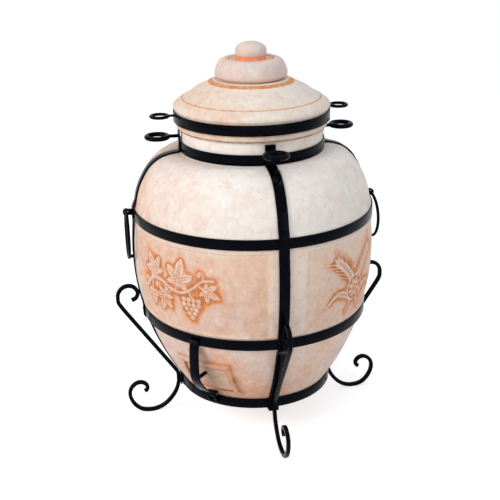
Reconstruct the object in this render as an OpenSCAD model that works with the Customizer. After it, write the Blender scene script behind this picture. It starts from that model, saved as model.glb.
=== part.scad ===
// Clay tandoor oven standing in a welded flat-bar cage with four scroll legs.
// Millimetres, +Z up, origin on the floor under the middle, draft door toward -Y.

/* [Clay jar] */
// outer radius of the belly, its widest place
belly_r = 306.5; // [285:0.5:330]
// height of the jar from its underside to the foot of the neck
jar_h = 628.5; // [590:0.5:670]
// height of the underside of the jar above the floor
jar_z = 84; // [78:0.5:92]
// thickness of the jar wall
wall = 46; // [36:0.5:50]
// thickness of the jar floor
floor_t = 46; // [38:0.5:50]
// outer radius of the neck
neck_r = 176; // [168:0.5:184]
// height of the neck from its foot to the rim
neck_h = 58.5; // [54:0.5:64]
// radius of the mouth
mouth_r = 134; // [130:0.5:140]

/* [Lid and cap] */
// how far the lower edge of the lid stands out past the neck
lid_over = 8; // [4:0.5:12]
// height of the lid from the rim to its flat top
lid_h = 117; // [110:0.5:126]
// depth of the ring under the lid that stands in the mouth
spigot_d = 14; // [8:0.5:20]
// clearance between the ring under the lid and the mouth
spigot_gap = 3; // [2:0.5:5]
// radius of the vent hole in the lid
vent_r = 45; // [40:0.5:50]
// outer radius of the cap that closes the vent
cap_r = 88.7; // [84:0.1:94]
// height of the cap with its knob above the flat top of the lid
cap_h = 89; // [82:0.5:96]
// radius of the knob of the cap
knob_r = 38.3; // [34:0.1:42]

/* [Hoops and ribs] */
// width of the flat bar of the hoops and ribs
bar_w = 26; // [22:0.5:28]
// thickness of the flat bar
bar_t = 4; // [3:0.25:5]
// height of the bottom hoop above the underside of the jar
bottom_hoop_up = 2; // [1:0.5:4]
// height of the lower hoop above the underside of the jar
lower_hoop_up = 206; // [196:0.5:216]
// height of the shoulder hoop above the underside of the jar
shoulder_hoop_up = 466; // [450:0.5:476]
// height of the neck hoop above the foot of the neck
neck_hoop_up = 3; // [2:0.5:6]
// height of the lid hoop above the lower edge of the lid
lid_hoop_up = 18; // [14:0.5:20]
// fitting gap between iron and clay
fit = 0.1; // [0.05:0.05:0.2]
// direction of the front left rib, in degrees round from the draft door
front_left_angle = -50; // [-52:0.5:-45]
// direction of the front right rib, in degrees
front_right_angle = 43.5; // [43:0.5:47]
// direction of the back right rib, in degrees
back_right_angle = 136; // [133:0.5:138]
// direction of the back left rib, in degrees
back_left_angle = 225; // [223:0.5:227]

/* [Legs and feet] */
// width of the leg bar across the radius
leg_w = 10; // [8:0.5:12]
// thickness of the leg bar
leg_t = 10; // [8:0.5:12]
// width of the foot bar across the radius
foot_w = 10; // [8:0.5:12]
// thickness of the foot bar
foot_t = 10; // [8:0.5:12]
// how far the feet touch the floor outside their upper ends
foot_reach = 77; // [66:0.5:86]
// outer radius of the upper scroll
scroll_r = 35; // [30:0.5:38]

/* [Rings] */
// radius of the middle line of a neck ring
neck_ring_r = 26; // [24:0.5:30]
// thickness of the neck ring rod
neck_rod = 12; // [10:0.5:13]
// radius of the middle line of a lid ring
lid_ring_r = 21; // [20:0.5:25]
// thickness of the lid ring rod
lid_rod = 8; // [6:0.5:9]
// radius of the middle line of a carrying ring
grip_r = 59; // [54:0.5:64]
// thickness of the carrying ring rod
grip_rod = 8; // [7:0.5:9]
// bore radius of the lug a carrying ring hangs in
lug_bore = 4.9; // [4.7:0.1:5.5]
// length of the peg that a hanging carrying ring leans on
peg_l = 6.7; // [5:0.1:12]

/* [Draft door] */
// width of the draft opening
door_w = 117; // [100:0.5:125]
// height of the draft opening
door_h = 77; // [66:0.5:80]
// height of the sill of the draft opening above the underside of the jar
sill_up = 55; // [53:0.5:58]
// gap between the clay door and its opening
door_gap = 1; // [0.8:0.1:1.5]
// how far the raised moulding stands off the jar
mould_t = 6; // [4:0.5:8]
// width of the keeper strap
keeper_w = 26; // [20:0.5:28]
// width of the keeper strap where it is narrowed for its hinge
hinge_w = 16; // [12:0.5:18]
// radius of the keeper hinge pin
pin_r = 4; // [3.5:0.1:4.5]
// running clearance of the keeper hinge
pin_gap = 0.08; // [0.04:0.01:0.1]

/* [Grate] */
// radius of the fire grate
grate_r = 124; // [110:0.5:126]
// height of the top of the grate above the jar floor
grate_up = 106; // [96:0.5:112]

/* [Hidden] */
$fn = 96;
kz = jar_h / 628.5;
kr = belly_r / 306.5;
// the cage is hand made, so its ribs are not quite a quarter turn apart
rib_angle = [
    front_left_angle, front_right_angle, back_right_angle, back_left_angle
];
// curve through every point of a path with n steps between neighbours
function at(p, i) = p[min(max(i, 0), len(p) - 1)];
function mid(p, i, t) = 0.5 * (
    2 * at(p, i) + (at(p, i + 1) - at(p, i - 1)) * t
    + (2 * at(p, i - 1) - 5 * at(p, i) + 4 * at(p, i + 1) - at(p, i + 2)) * t * t
    + (3 * at(p, i) - at(p, i - 1) - 3 * at(p, i + 1) + at(p, i + 2)) * t * t * t
);
function curve(p, n) = concat(
    [for (i = [0 : len(p) - 2]) for (k = [0 : n - 1]) mid(p, i, k / n)],
    [p[len(p) - 1]]
);
// outer line of the jar as [height, radius], drawn through its key places;
// the last ones draw in from the shoulder to the foot of the neck
toe_r = neck_r + 12;
line = curve(concat(
    [for (p = [
        [34, 198], [60, 215.5], [92, 233.5], [128, 251], [166, 266.8],
        [219.5, 284], [266, 295.2], [316, 303.1], [381, 306.5],
        [441, 303.6], [479.5, 299], [521, 293.5], [551, 284.5], [578, 271]
    ]) [jar_z + p[0] * kz, p[1] * kr]],
    [for (p = [[600, 0.813], [617, 0.548], [625.5, 0.253], [628.5, 0]])
        [jar_z + p[0] * kz, toe_r + p[1] * (271 * kr - toe_r)]]
), 2);
// points of the line between two heights, as [radius, height]
function part(a, b) = [for (p = line) if (p[0] > a && p[0] < b) [p[1], p[0]]];
base_r = 194 * kr;
neck_z = jar_z + jar_h;
rim_z = neck_z + neck_h;
// heights of the hoops and the radii of the clay inside them
h_bottom = jar_z + bottom_hoop_up;
h_lower = jar_z + lower_hoop_up;
h_shoulder = jar_z + shoulder_hoop_up;
h_neck = neck_z + neck_hoop_up;
h_lid = rim_z + lid_hoop_up;
s_lower = lookup(h_lower + bar_w / 2, line);
s_shoulder = lookup(h_shoulder + bar_w / 2, line);
lid_lip_r = neck_r + lid_over;
s_lid = lid_lip_r + 5.5;
step = fit + bar_t;
over = 2 * fit + bar_t;
seat_top = 1.5;
outer = concat(
    [[0, jar_z], [base_r - 5, jar_z], [base_r, jar_z + 2]],
    [[base_r, h_bottom + bar_w + seat_top]],
    part(h_bottom + bar_w + 4, h_lower - 3),
    [[s_lower, h_lower - seat_top], [s_lower, h_lower + bar_w + seat_top]],
    part(h_lower + bar_w + 6, h_shoulder - 6),
    [[s_shoulder, h_shoulder - seat_top]],
    [[s_shoulder, h_shoulder + bar_w + seat_top]],
    part(h_shoulder + bar_w + 4, neck_z + 1),
    [[neck_r, neck_z + 1], [neck_r, rim_z - 3], [neck_r - 3, rim_z], [0, rim_z]]
);
cave_z = jar_z + floor_t;
cave = concat(
    [[0, cave_z], [lookup(cave_z + 8, line) - wall - 14, cave_z]],
    [for (k = [56, 92, 128, 166, 246, 316, 381, 451, 506])
        [lookup(jar_z + k * kz, line) - wall, jar_z + k * kz]],
    [for (m = [[536, 1.2], [561, 1.42], [576, 1.8]])
        [lookup(jar_z + m[0] * kz, line) - wall * m[1], jar_z + m[0] * kz]],
    [[mouth_r + 22, neck_z - 44], [mouth_r, neck_z - 34], [mouth_r, rim_z + 1]],
    [[0, rim_z + 1]]
);
// lid
cap_z = rim_z + lid_h;
kl = lid_h / 117;
lid_line = concat(
    [[0, rim_z], [lid_lip_r, rim_z], [lid_lip_r + 3, rim_z + 8 * kl]],
    [[s_lid, h_lid - seat_top], [s_lid, h_lid + bar_w + seat_top]],
    curve([for (p = [
        [193.4, 51], [191.5, 58], [178, 69], [157, 81], [140.5, 93],
        [115.5, 105], [97, 115], [91, 117]
    ]) [p[0] + lid_lip_r - 184, rim_z + p[1] * kl]], 2),
    [[0, cap_z]]
);
spigot_r = mouth_r - spigot_gap;
lid_cave = [
    [0, rim_z - spigot_d - 1], [spigot_r - 14, rim_z - spigot_d - 1],
    [spigot_r - 16, rim_z], [spigot_r - 22, rim_z + 20 * kl],
    [spigot_r - 40, rim_z + 47 * kl], [spigot_r - 62, rim_z + 66 * kl],
    [vent_r, rim_z + 76 * kl], [vent_r, cap_z + 1], [0, cap_z + 1]
];
kc = cap_h / 89;
function on_cap(p) = [for (q = p) [q[0], cap_z + q[1] * kc]];
cap_line = concat(
    [[0, cap_z - 14], [vent_r - 3.5, cap_z - 14], [vent_r - 2.5, cap_z - 11]],
    [[vent_r - 2.5, cap_z]],
    curve(on_cap([
        [cap_r - 14.7, 0], [cap_r - 2, 7.5], [cap_r, 16], [cap_r - 3.5, 30],
        [cap_r - 11, 43.5], [cap_r - 24, 50], [cap_r - 37, 46.5]
    ]), 2),
    on_cap([[knob_r - 1.8, 46], [knob_r - 1.8, 56]]),
    curve(on_cap([
        [knob_r - 0.6, 59], [knob_r, 66], [knob_r - 2.8, 76],
        [knob_r - 13.3, 84], [0, 89]
    ]), 2)
);
// inner line of a rib: on the clay between the hoops and over each hoop
jog = 9;
rib_foot_z = jar_z - 6;
rib_top_z = rim_z - 5;
r_bottom = base_r + over;
r_lower = s_lower + over;
r_shoulder = s_shoulder + over;
r_neck = neck_r + over;
function lift(p) = [for (q = p) [q[0] + fit, q[1]]];
function rise(p) = [for (q = p) [q[0] + fit, q[1] + fit]];
rib_line = concat(
    [[r_bottom, rib_foot_z], [r_bottom, h_bottom + bar_w + 1]],
    lift(part(h_bottom + bar_w + jog, h_lower - jog)),
    [[r_lower, h_lower - 1], [r_lower, h_lower + bar_w + 1]],
    lift(part(h_lower + bar_w + jog, h_shoulder - jog)),
    [[r_shoulder, h_shoulder - 1], [r_shoulder, h_shoulder + bar_w + 1]],
    rise(part(h_shoulder + bar_w + jog, neck_z - 0.7)),
    [[r_neck + 10, neck_z + 0.6], [r_neck, h_neck + 1], [r_neck, rib_top_z]]
);
// thick line: the points of a path followed by the same points moved aside
function unit(v) = v / norm(v);
function nrm(p, i) = let (
    a = p[max(i - 1, 0)], b = p[min(i + 1, len(p) - 1)], d = unit(b - a)
) [d[1], -d[0]];
function moved(p, t) = [for (i = [0 : len(p) - 1]) p[i] + nrm(p, i) * t];
function back(p) = [for (i = [len(p) - 1 : -1 : 0]) p[i]];
function ribbon(p, a, b) = concat(moved(p, a), back(moved(p, b)));
// leg: weld tail, straight bar and the upper scroll that rests on the rib
leg_r0 = r_bottom + step + leg_t / 2;
scroll_z = h_lower + bar_w + 26;
scroll = [
    for (s = [
        [-37, 1], [-14, 0.871], [12, 0.814], [45, 0.757], [80, 0.714],
        [115, 0.686], [150, 0.646], [180, 0.614], [215, 0.549], [250, 0.469]
    ]) [s[1] * scroll_r * cos(s[0]), scroll_z + s[1] * scroll_r * sin(s[0])]
];
// the scroll stands off until its inner side just rests on the rib
scroll_x = max([for (q = curve(scroll, 2)) lookup(q[1], line) - q[0]])
    + 1.03 * (bar_t + leg_t / 2) + 2 * fit;
leg_path = concat(
    [[leg_r0, h_bottom + 9.5], [leg_r0 + 0.4, h_bottom + 20]],
    [[leg_r0 + 9, h_bottom + 36]],
    curve(concat(
        [[scroll_x + 0.143 * scroll_r, scroll_z - 1.629 * scroll_r]],
        [[scroll_x + 0.514 * scroll_r, scroll_z - 1.086 * scroll_r]],
        [for (q = scroll) q + [scroll_x, 0]]
    ), 2)
);
// foot: weld tail, quarter sweep, flat tread and the lower scroll
foot_r0 = r_bottom + step + foot_t / 2;
tread = foot_t / 2;
tread_r = foot_r0 + foot_reach;
foot_path = concat(
    [[foot_r0, h_bottom + 8.5]],
    curve([
        for (q = [
            [0, 1], [0.087, 0.727], [0.247, 0.468], [0.48, 0.227],
            [0.728, 0.078], [1, 0]
        ]) [foot_r0 + q[0] * (foot_reach - 8), tread + q[1] * (jar_z - 4 - tread)]
    ], 2),
    curve([
        [tread_r + 8, tread], [tread_r + 24, 9], [tread_r + 39, 20.5],
        [tread_r + 50, 38], [tread_r + 54, 56], [tread_r + 51, 71],
        [tread_r + 41, 83], [tread_r + 27, 88.5], [tread_r + 14, 84.5],
        [tread_r + 7, 75], [tread_r + 8.5, 65.5], [tread_r + 14.5, 61.5]
    ], 2)
);
// draft door and its keeper
sill_z = jar_z + sill_up;
head_z = sill_z + door_h;
pin_x = lookup(sill_z + 1, line) + 3;
pin_z = sill_z - 14;
eye_r = pin_r + 4;
stay_z = sill_z + 57;
stay_r = lookup(stay_z, line);
rest_gap = 0.6;
keep_r = s_lower + step + rest_gap + bar_t / 2;
keep_path = curve([
    [pin_x + 3, pin_z + 5], [pin_x + 14, pin_z + 12],
    [pin_x + 32, pin_z + 23], [pin_x + 54, pin_z + 44],
    [keep_r - 1, sill_z + 60], [keep_r + 3, sill_z + 98],
    [keep_r + 2, h_lower - 14], [keep_r, h_lower - 2],
    [keep_r, h_lower + 6], [keep_r + 1.5, h_lower + 11],
    [keep_r + 7, h_lower + 16]
], 2);
// the strap is narrow up to this height, and full width above it
keep_wide_z = pin_z + 11;
function above(p, z) = [for (q = p) if (q[1] >= z) q];
function below(p, z) = [for (q = p) if (q[1] < z + 4) q];
stay_out = lookup(stay_z - 5, [for (p = keep_path) [p[1], p[0]]]) - bar_t / 2 - 0.3;
// rings
neck_ring_z = (rib_top_z + h_neck + bar_w) / 2;
neck_ring_at = r_neck + bar_t + 19 + neck_ring_r + neck_rod / 2;
lid_ring_z = h_lid + bar_w * 0.6;
lid_ring_at = s_lid + step + 9 + lid_ring_r + lid_rod / 2;
lug_z = h_shoulder + bar_w * 0.62;
lug_out = lug_bore + 4;
grip_drop = lug_bore - grip_rod / 2 - 0.3;
peg_z = lug_z - 2 * grip_r - grip_drop;
peg_x = lookup(peg_z, line) + 2 * fit + bar_t;
lug_x = peg_x + peg_l + 0.15 + grip_rod / 2;

// turn a piece drawn with +X as its radius to an azimuth counted from -Y
module turn(a) {
    rotate([0, 0, a - 90]) children();
}

// flat piece drawn in the upright plane of the radius
module upright(w) {
    rotate([90, 0, 0]) linear_extrude(height = w, center = true) children();
}

module hoop(z, r) {
    translate([0, 0, z])
        difference() {
            cylinder(h = bar_w, r = r + step);
            translate([0, 0, -1]) cylinder(h = bar_w + 2, r = r + fit);
        }
}

module jar_block() {
    rotate_extrude() polygon(outer);
}

module clay_body() {
    color([0.87, 0.74, 0.62])
        difference() {
            union() {
                jar_block();
                mould();
            }
            rotate_extrude() polygon(cave);
            translate([-door_w / 2, -2 * belly_r, sill_z])
                cube([door_w, 2 * belly_r - 100, door_h]);
        }
}

// raised three-sided moulding round the draft opening
module mould() {
    edge = 15;
    intersection() {
        rotate_extrude() polygon(concat(
            [[60, sill_z - 4]],
            [for (p = part(sill_z - 6, h_lower - 4)) p + [mould_t, 0]],
            [[60, h_lower - 12]]
        ));
        difference() {
            translate([-door_w / 2 - edge, -2 * belly_r, sill_z - 2])
                cube([door_w + 2 * edge, 2 * belly_r - 120, door_h + edge + 4]);
            translate([-door_w / 2, -3 * belly_r, sill_z - 3])
                cube([door_w, 3 * belly_r, door_h + 1]);
        }
    }
}

module lid() {
    color([0.89, 0.80, 0.71])
        difference() {
            union() {
                rotate_extrude() polygon(lid_line);
                translate([0, 0, rim_z - spigot_d])
                    cylinder(h = spigot_d + 1, r = spigot_r);
            }
            rotate_extrude() polygon(lid_cave);
        }
}

module lid_cap() {
    color([0.89, 0.80, 0.71]) rotate_extrude() polygon(cap_line);
}

module draft_door() {
    w = door_w - 2 * door_gap;
    z0 = sill_z + door_gap;
    z1 = head_z - door_gap;
    i0 = lookup(z0, line) - wall;
    i1 = lookup(z1, line) - wall;
    color([0.86, 0.71, 0.58])
        difference() {
            intersection() {
                jar_block();
                turn(0) upright(w) polygon([
                    [i0 + 1, z0], [belly_r, z0], [belly_r, z1],
                    [i1 + 12, z1], [i1 + 1, z1 - 3]
                ]);
            }
            turn(0) translate([stay_r - 22, 0, stay_z])
                rotate([0, 90, 0]) cylinder(h = 60, r = 5.1);
        }
}

module fire_grate() {
    t = 10;
    z = cave_z + grate_up;
    color([0.16, 0.16, 0.17]) {
        difference() {
            translate([0, 0, z - t]) cylinder(h = t, r = grate_r);
            for (i = [-3 : 3])
                translate([i * 30 - 8, -grate_slot(i * 30), z - t - 1])
                    cube([16, 2 * grate_slot(i * 30), t + 2]);
        }
        for (a = [45 : 90 : 315])
            turn(a) translate([grate_r - 14, 0, cave_z])
                cylinder(h = grate_up - t + 1, r = 8);
    }
}

// half length of a slot that leaves a rim at distance x from the middle
function grate_slot(x) = sqrt(pow(grate_r - 20, 2) - pow(abs(x) + 8, 2));

module bottom_hoop() {
    color([0.07, 0.07, 0.08]) hoop(h_bottom, base_r);
}

module lower_hoop() {
    color([0.07, 0.07, 0.08]) hoop(h_lower, s_lower);
}

module shoulder_hoop() {
    color([0.07, 0.07, 0.08]) hoop(h_shoulder, s_shoulder);
}

module neck_hoop() {
    color([0.07, 0.07, 0.08]) hoop(h_neck, neck_r);
}

module lid_hoop() {
    color([0.07, 0.07, 0.08]) hoop(h_lid, s_lid);
}

module rib(a) {
    color([0.07, 0.07, 0.08])
        turn(a) upright(bar_w) polygon(ribbon(rib_line, 0, bar_t));
}

module rib_front_left() {
    rib(rib_angle[0]);
}

module rib_front_right() {
    rib(rib_angle[1]);
}

module rib_back_right() {
    rib(rib_angle[2]);
}

module rib_back_left() {
    rib(rib_angle[3]);
}

module leg(a) {
    color([0.08, 0.08, 0.09])
        turn(a) upright(leg_w) polygon(ribbon(leg_path, -leg_t / 2, leg_t / 2));
}

module leg_front_left() {
    leg(rib_angle[0]);
}

module leg_front_right() {
    leg(rib_angle[1]);
}

module leg_back_right() {
    leg(rib_angle[2]);
}

module leg_back_left() {
    leg(rib_angle[3]);
}

module foot(a) {
    color([0.08, 0.08, 0.09])
        turn(a) upright(foot_w) polygon(ribbon(foot_path, -foot_t / 2, foot_t / 2));
}

module foot_front_left() {
    foot(rib_angle[0]);
}

module foot_front_right() {
    foot(rib_angle[1]);
}

module foot_back_right() {
    foot(rib_angle[2]);
}

module foot_back_left() {
    foot(rib_angle[3]);
}

module rod_ring(r, rod) {
    rotate_extrude() translate([r, 0]) circle(r = rod / 2, $fn = 12);
}

module neck_ring(a) {
    color([0.07, 0.07, 0.08])
        turn(a) {
            translate([neck_ring_at, 0, neck_ring_z])
                rod_ring(neck_ring_r, neck_rod);
            translate([r_neck + bar_t, 0, neck_ring_z])
                rotate([0, 90, 0]) cylinder(h = 23, r = neck_rod / 2 - 1.5);
        }
}

module neck_ring_front_left() {
    neck_ring(rib_angle[0]);
}

module neck_ring_front_right() {
    neck_ring(rib_angle[1]);
}

module neck_ring_back_right() {
    neck_ring(rib_angle[2]);
}

module neck_ring_back_left() {
    neck_ring(rib_angle[3]);
}

module lid_ring(a) {
    color([0.07, 0.07, 0.08])
        turn(a) {
            translate([lid_ring_at, 0, lid_ring_z]) rod_ring(lid_ring_r, lid_rod);
            translate([s_lid + step + fit, 0, lid_ring_z])
                rotate([0, 90, 0]) cylinder(h = 12, r = lid_rod / 2 - 0.8);
        }
}

module lid_ring_left() {
    lid_ring(rib_angle[0]);
}

module lid_ring_right() {
    lid_ring(rib_angle[2]);
}

// cross under the jar: its bar lies midway between the directions of two ribs
base_angle = (rib_angle[0] + rib_angle[2] - 180) / 2;
// how far a bar reaches before a corner of its end meets a rib turned from it
function butt(a) = (r_bottom - fit - bar_w / 2 * sin(abs(a))) / cos(a);

module base_bar() {
    half = butt(rib_angle[0] - base_angle);
    color([0.07, 0.07, 0.08])
        turn(base_angle)
            translate([-half, -bar_w / 2, jar_z - bar_t]) cube([2 * half, bar_w, bar_t]);
}

module base_arm(a, rib_a) {
    start = bar_w / 2 + fit;
    color([0.07, 0.07, 0.08])
        turn(a)
            translate([start, -bar_w / 2, jar_z - bar_t])
                cube([butt(rib_a - a) - start, bar_w, bar_t]);
}

module base_arm_left() {
    base_arm(base_angle + 270, rib_angle[3]);
}

module base_arm_right() {
    base_arm(base_angle + 90, rib_angle[1]);
}

module lug(a) {
    w = 10;
    color([0.07, 0.07, 0.08])
        turn(a)
            difference() {
                union() {
                    translate([lug_x, 0, lug_z])
                        rotate([90, 0, 0]) cylinder(h = w, r = lug_out, center = true);
                    translate([r_shoulder + step, -w / 2, lug_z - lug_out + 1.5])
                        cube([lug_x - r_shoulder - step, w, 2 * lug_out - 3]);
                }
                translate([lug_x, 0, lug_z])
                    rotate([90, 0, 0]) cylinder(h = w + 2, r = lug_bore, center = true);
            }
}

module lug_left() {
    lug(rib_angle[0]);
}

module lug_right() {
    lug(rib_angle[2]);
}

module grip(a) {
    color([0.07, 0.07, 0.08])
        turn(a)
            translate([lug_x, 0, lug_z - grip_r - grip_drop])
                rotate([0, 90, 0]) rod_ring(grip_r, grip_rod);
}

module grip_left() {
    grip(rib_angle[0]);
}

module grip_right() {
    grip(rib_angle[2]);
}

// peg on the rib that the hanging ring leans on
module peg(a) {
    color([0.07, 0.07, 0.08])
        turn(a)
            translate([peg_x, 0, peg_z])
                rotate([0, 90, 0]) cylinder(h = peg_l, r = 4.5);
}

module peg_left() {
    peg(rib_angle[0]);
}

module peg_right() {
    peg(rib_angle[2]);
}

module keeper() {
    color([0.08, 0.08, 0.09])
        turn(0)
            difference() {
                union() {
                    upright(keeper_w) polygon(ribbon(
                        above(keep_path, keep_wide_z), -bar_t / 2, bar_t / 2
                    ));
                    upright(hinge_w) polygon(ribbon(
                        below(keep_path, keep_wide_z), -bar_t / 2, bar_t / 2
                    ));
                    translate([pin_x, 0, pin_z])
                        rotate([90, 0, 0])
                            cylinder(h = hinge_w, r = eye_r, center = true);
                }
                translate([pin_x, 0, pin_z])
                    rotate([90, 0, 0])
                        cylinder(h = hinge_w + 2, r = pin_r + pin_gap, center = true);
            }
}

// rod that carries the clay door on the keeper
module keeper_stay() {
    color([0.10, 0.10, 0.11])
        turn(0) translate([stay_r - 21.9, 0, stay_z])
            rotate([0, 90, 0]) cylinder(h = stay_out - stay_r + 21.9, r = 5);
}

module keeper_bracket() {
    ear_t = 4;
    x0 = base_r + step + fit;
    ear_y = hinge_w / 2 + 0.4;
    ear_z = h_bottom + bar_w - 14;
    color([0.08, 0.08, 0.09])
        turn(0)
            difference() {
                union() {
                    translate([x0, -ear_y - ear_t, ear_z])
                        cube([4, 2 * (ear_y + ear_t), 12]);
                    for (s = [-1, 1])
                        translate([0, s * (ear_y + ear_t / 2), 0])
                            upright(ear_t) polygon([
                                [x0 + 3, ear_z], [x0 + 3, ear_z + 12],
                                [pin_x - 6, pin_z + 6], [pin_x - 3, pin_z + 8],
                                [pin_x + 4, pin_z + 8], [pin_x + 8, pin_z + 3],
                                [pin_x + 8, pin_z - 4], [pin_x - 2, ear_z]
                            ]);
                }
                translate([pin_x, 0, pin_z])
                    rotate([90, 0, 0])
                        cylinder(h = 60, r = pin_r + 0.02, center = true);
            }
}

module keeper_pin() {
    color([0.20, 0.20, 0.21])
        turn(0) translate([pin_x, 0, pin_z])
            rotate([90, 0, 0]) cylinder(h = hinge_w + 12, r = pin_r, center = true);
}

clay_body();
lid();
lid_cap();
draft_door();
fire_grate();
bottom_hoop();
lower_hoop();
shoulder_hoop();
neck_hoop();
lid_hoop();
rib_front_left();
rib_front_right();
rib_back_right();
rib_back_left();
leg_front_left();
leg_front_right();
leg_back_right();
leg_back_left();
foot_front_left();
foot_front_right();
foot_back_right();
foot_back_left();
neck_ring_front_left();
neck_ring_front_right();
neck_ring_back_right();
neck_ring_back_left();
lid_ring_left();
lid_ring_right();
base_bar();
base_arm_left();
base_arm_right();
lug_left();
lug_right();
grip_left();
grip_right();
peg_left();
peg_right();
keeper();
keeper_stay();
keeper_bracket();
keeper_pin();
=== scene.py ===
# %% [markdown]
# # A clay oven in a cage of black iron
# The oven is a thick jar of fired clay. A lid and a small vent cap close it, and a cage of
# flat iron bar with scroll legs carries it. The CAD model already fixes every size, so this
# scene only dresses it: smooth clay, pressed ornament, bent bars with rounded edges, and paint.
# The sizes of its pieces are in millimetres until the moment a mesh is made. Only the lamps
# and the floor are placed in metres.

import math

import bmesh
import bpy
import numpy as np
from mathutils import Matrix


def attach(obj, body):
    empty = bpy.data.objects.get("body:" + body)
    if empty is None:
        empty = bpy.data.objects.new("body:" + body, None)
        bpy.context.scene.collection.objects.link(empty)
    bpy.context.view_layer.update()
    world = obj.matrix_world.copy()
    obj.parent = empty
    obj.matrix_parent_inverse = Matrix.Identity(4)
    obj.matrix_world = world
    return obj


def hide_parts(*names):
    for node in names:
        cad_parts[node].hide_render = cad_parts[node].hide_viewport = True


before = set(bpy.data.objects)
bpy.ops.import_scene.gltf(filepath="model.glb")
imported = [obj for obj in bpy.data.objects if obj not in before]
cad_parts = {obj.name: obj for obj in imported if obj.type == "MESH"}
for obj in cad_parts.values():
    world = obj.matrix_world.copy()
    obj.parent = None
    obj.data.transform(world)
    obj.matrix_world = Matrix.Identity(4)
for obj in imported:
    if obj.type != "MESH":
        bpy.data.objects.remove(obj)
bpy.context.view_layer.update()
MM = 0.001

# %% [markdown]
# ## Camera
# The picture was taken from 2.5 m away, a little above the lid, 30 degrees round to the right
# of the draft door. A camera could be aimed with a constraint, but a plain set of three
# directions is exact and stays where it is put.

# %% Camera
def put_in_scene(name, data):
    """A new object at the origin, for a mesh, a curve, a lamp or a camera."""
    item = bpy.data.objects.new(name, data)
    bpy.context.scene.collection.objects.link(item)
    return item


def aim_camera(turn_deg, distance, height, pitch, yaw, roll):
    """Camera turned about the oven's upright axis, with its own small roll."""
    turn = math.radians(turn_deg)
    spin = np.array([[math.cos(turn), -math.sin(turn), 0], [math.sin(turn), math.cos(turn), 0], [0, 0, 1]])
    level = math.cos(pitch)
    ahead = np.array([math.sin(yaw) * level, math.cos(yaw) * level, -math.sin(pitch)])
    right = np.array([math.cos(yaw), -math.sin(yaw), 0])
    up = np.cross(right, ahead)
    rolled_right = math.cos(roll) * right + math.sin(roll) * up
    rolled_up = math.cos(roll) * up - math.sin(roll) * right
    matrix = np.eye(4)
    for column, axis in enumerate((rolled_right, rolled_up, -ahead)):
        matrix[:3, column] = spin @ axis
    matrix[:3, 3] = (spin @ np.array([0, -distance, height])) * MM
    return matrix


FILM_WIDTH = 36
FOCAL_PIXELS = 1040.89
PICTURE_PIXELS = 500
camera = put_in_scene("camera", bpy.data.cameras.new("camera"))
stand = aim_camera(
    turn_deg=30, distance=2522.1, height=1388.2, pitch=0.35980, yaw=-0.0034065, roll=-0.0139748
)
camera.matrix_world = stand.T.tolist()
camera.data.sensor_width = FILM_WIDTH
camera.data.lens = FOCAL_PIXELS * FILM_WIDTH / PICTURE_PIXELS
bpy.context.scene.camera = camera
print("lens:", round(camera.data.lens, 2), "mm")

# %% [markdown]
# ## Small tools for node trees
# Every material below is a tree of nodes. A few short helpers keep them readable: one adds a
# node and sets its plain values, one joins sockets, and the rest do sums on masks.

# %% Nodes and links
def add(tree, kind, **values):
    """A node of that kind; values name its properties or its input sockets."""
    node = tree.nodes.new(kind)
    for key, value in values.items():
        if hasattr(node, key):
            setattr(node, key, value)
        else:
            node.inputs[key.replace("_", " ")].default_value = value
    return node


def connect(tree, pairs):
    """Joins each output to its input."""
    for source, target in pairs:
        tree.links.new(source, target)


def feed(tree, socket, value):
    """Gives a socket a plain value, or the output of another node."""
    if isinstance(value, bpy.types.NodeSocket):
        tree.links.new(value, socket)
    else:
        socket.default_value = value


def group_tree(name, inputs, outputs):
    """A shader group with named number inputs and outputs."""
    tree = bpy.data.node_groups.new(name, "ShaderNodeTree")
    for key, value in inputs.items():
        kind = "NodeSocketVector" if isinstance(value, tuple) else "NodeSocketFloat"
        socket = tree.interface.new_socket(key, in_out="INPUT", socket_type=kind)
        socket.default_value = value
    for key in outputs:
        tree.interface.new_socket(key, in_out="OUTPUT", socket_type="NodeSocketFloat")
    return tree, add(tree, "NodeGroupInput"), add(tree, "NodeGroupOutput")


def new_material(name):
    """A material with its tree and its main shader."""
    material = bpy.data.materials.new(name)
    material.use_nodes = True
    return material, material.node_tree, material.node_tree.nodes["Principled BSDF"]


print("tools for trees:", [tool.__name__ for tool in (add, connect, feed, group_tree, new_material)])

# %% Sums on masks
def ramp(tree, source, low, high):
    """A mask that goes softly from 0 at low to 1 at high."""
    node = add(tree, "ShaderNodeMapRange", interpolation_type="SMOOTHSTEP", From_Min=low, From_Max=high)
    tree.links.new(source, node.inputs["Value"])
    return node.outputs["Result"]


def math_node(tree, operation, *values, clamp=False):
    """One sum on plain numbers or masks."""
    node = add(tree, "ShaderNodeMath", operation=operation, use_clamp=clamp)
    for socket, value in zip(node.inputs, values):
        feed(tree, socket, value)
    return node.outputs[0]


def times(tree, first, second, clamp=False):
    """One number or mask times another."""
    return math_node(tree, "MULTIPLY", first, second, clamp=clamp)


def scaled(tree, mask, factor, base):
    """A mask times a factor, plus a base."""
    return math_node(tree, "ADD", times(tree, mask, factor), base)


def mix_colour(tree, mask, first, second):
    """first where the mask is 0, second where it is 1."""
    node = add(tree, "ShaderNodeMix", data_type="RGBA")
    feed(tree, node.inputs[0], mask)
    for index, value in ((6, first), (7, second)):
        feed(tree, node.inputs[index], (*value, 1) if isinstance(value, tuple) else value)
    return node.outputs[2]


def bump_from(tree, shader, height, strength):
    """Lets a mask raise and lower the surface by up to a millimetre."""
    bump = add(tree, "ShaderNodeBump", Strength=strength, Distance=MM)
    connect(tree, [(height, bump.inputs["Height"]), (bump.outputs[0], shader.inputs["Normal"])])


print("masks can be multiplied, scaled, mixed into a colour and turned into a bump of", MM * 1000, "mm")

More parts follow.
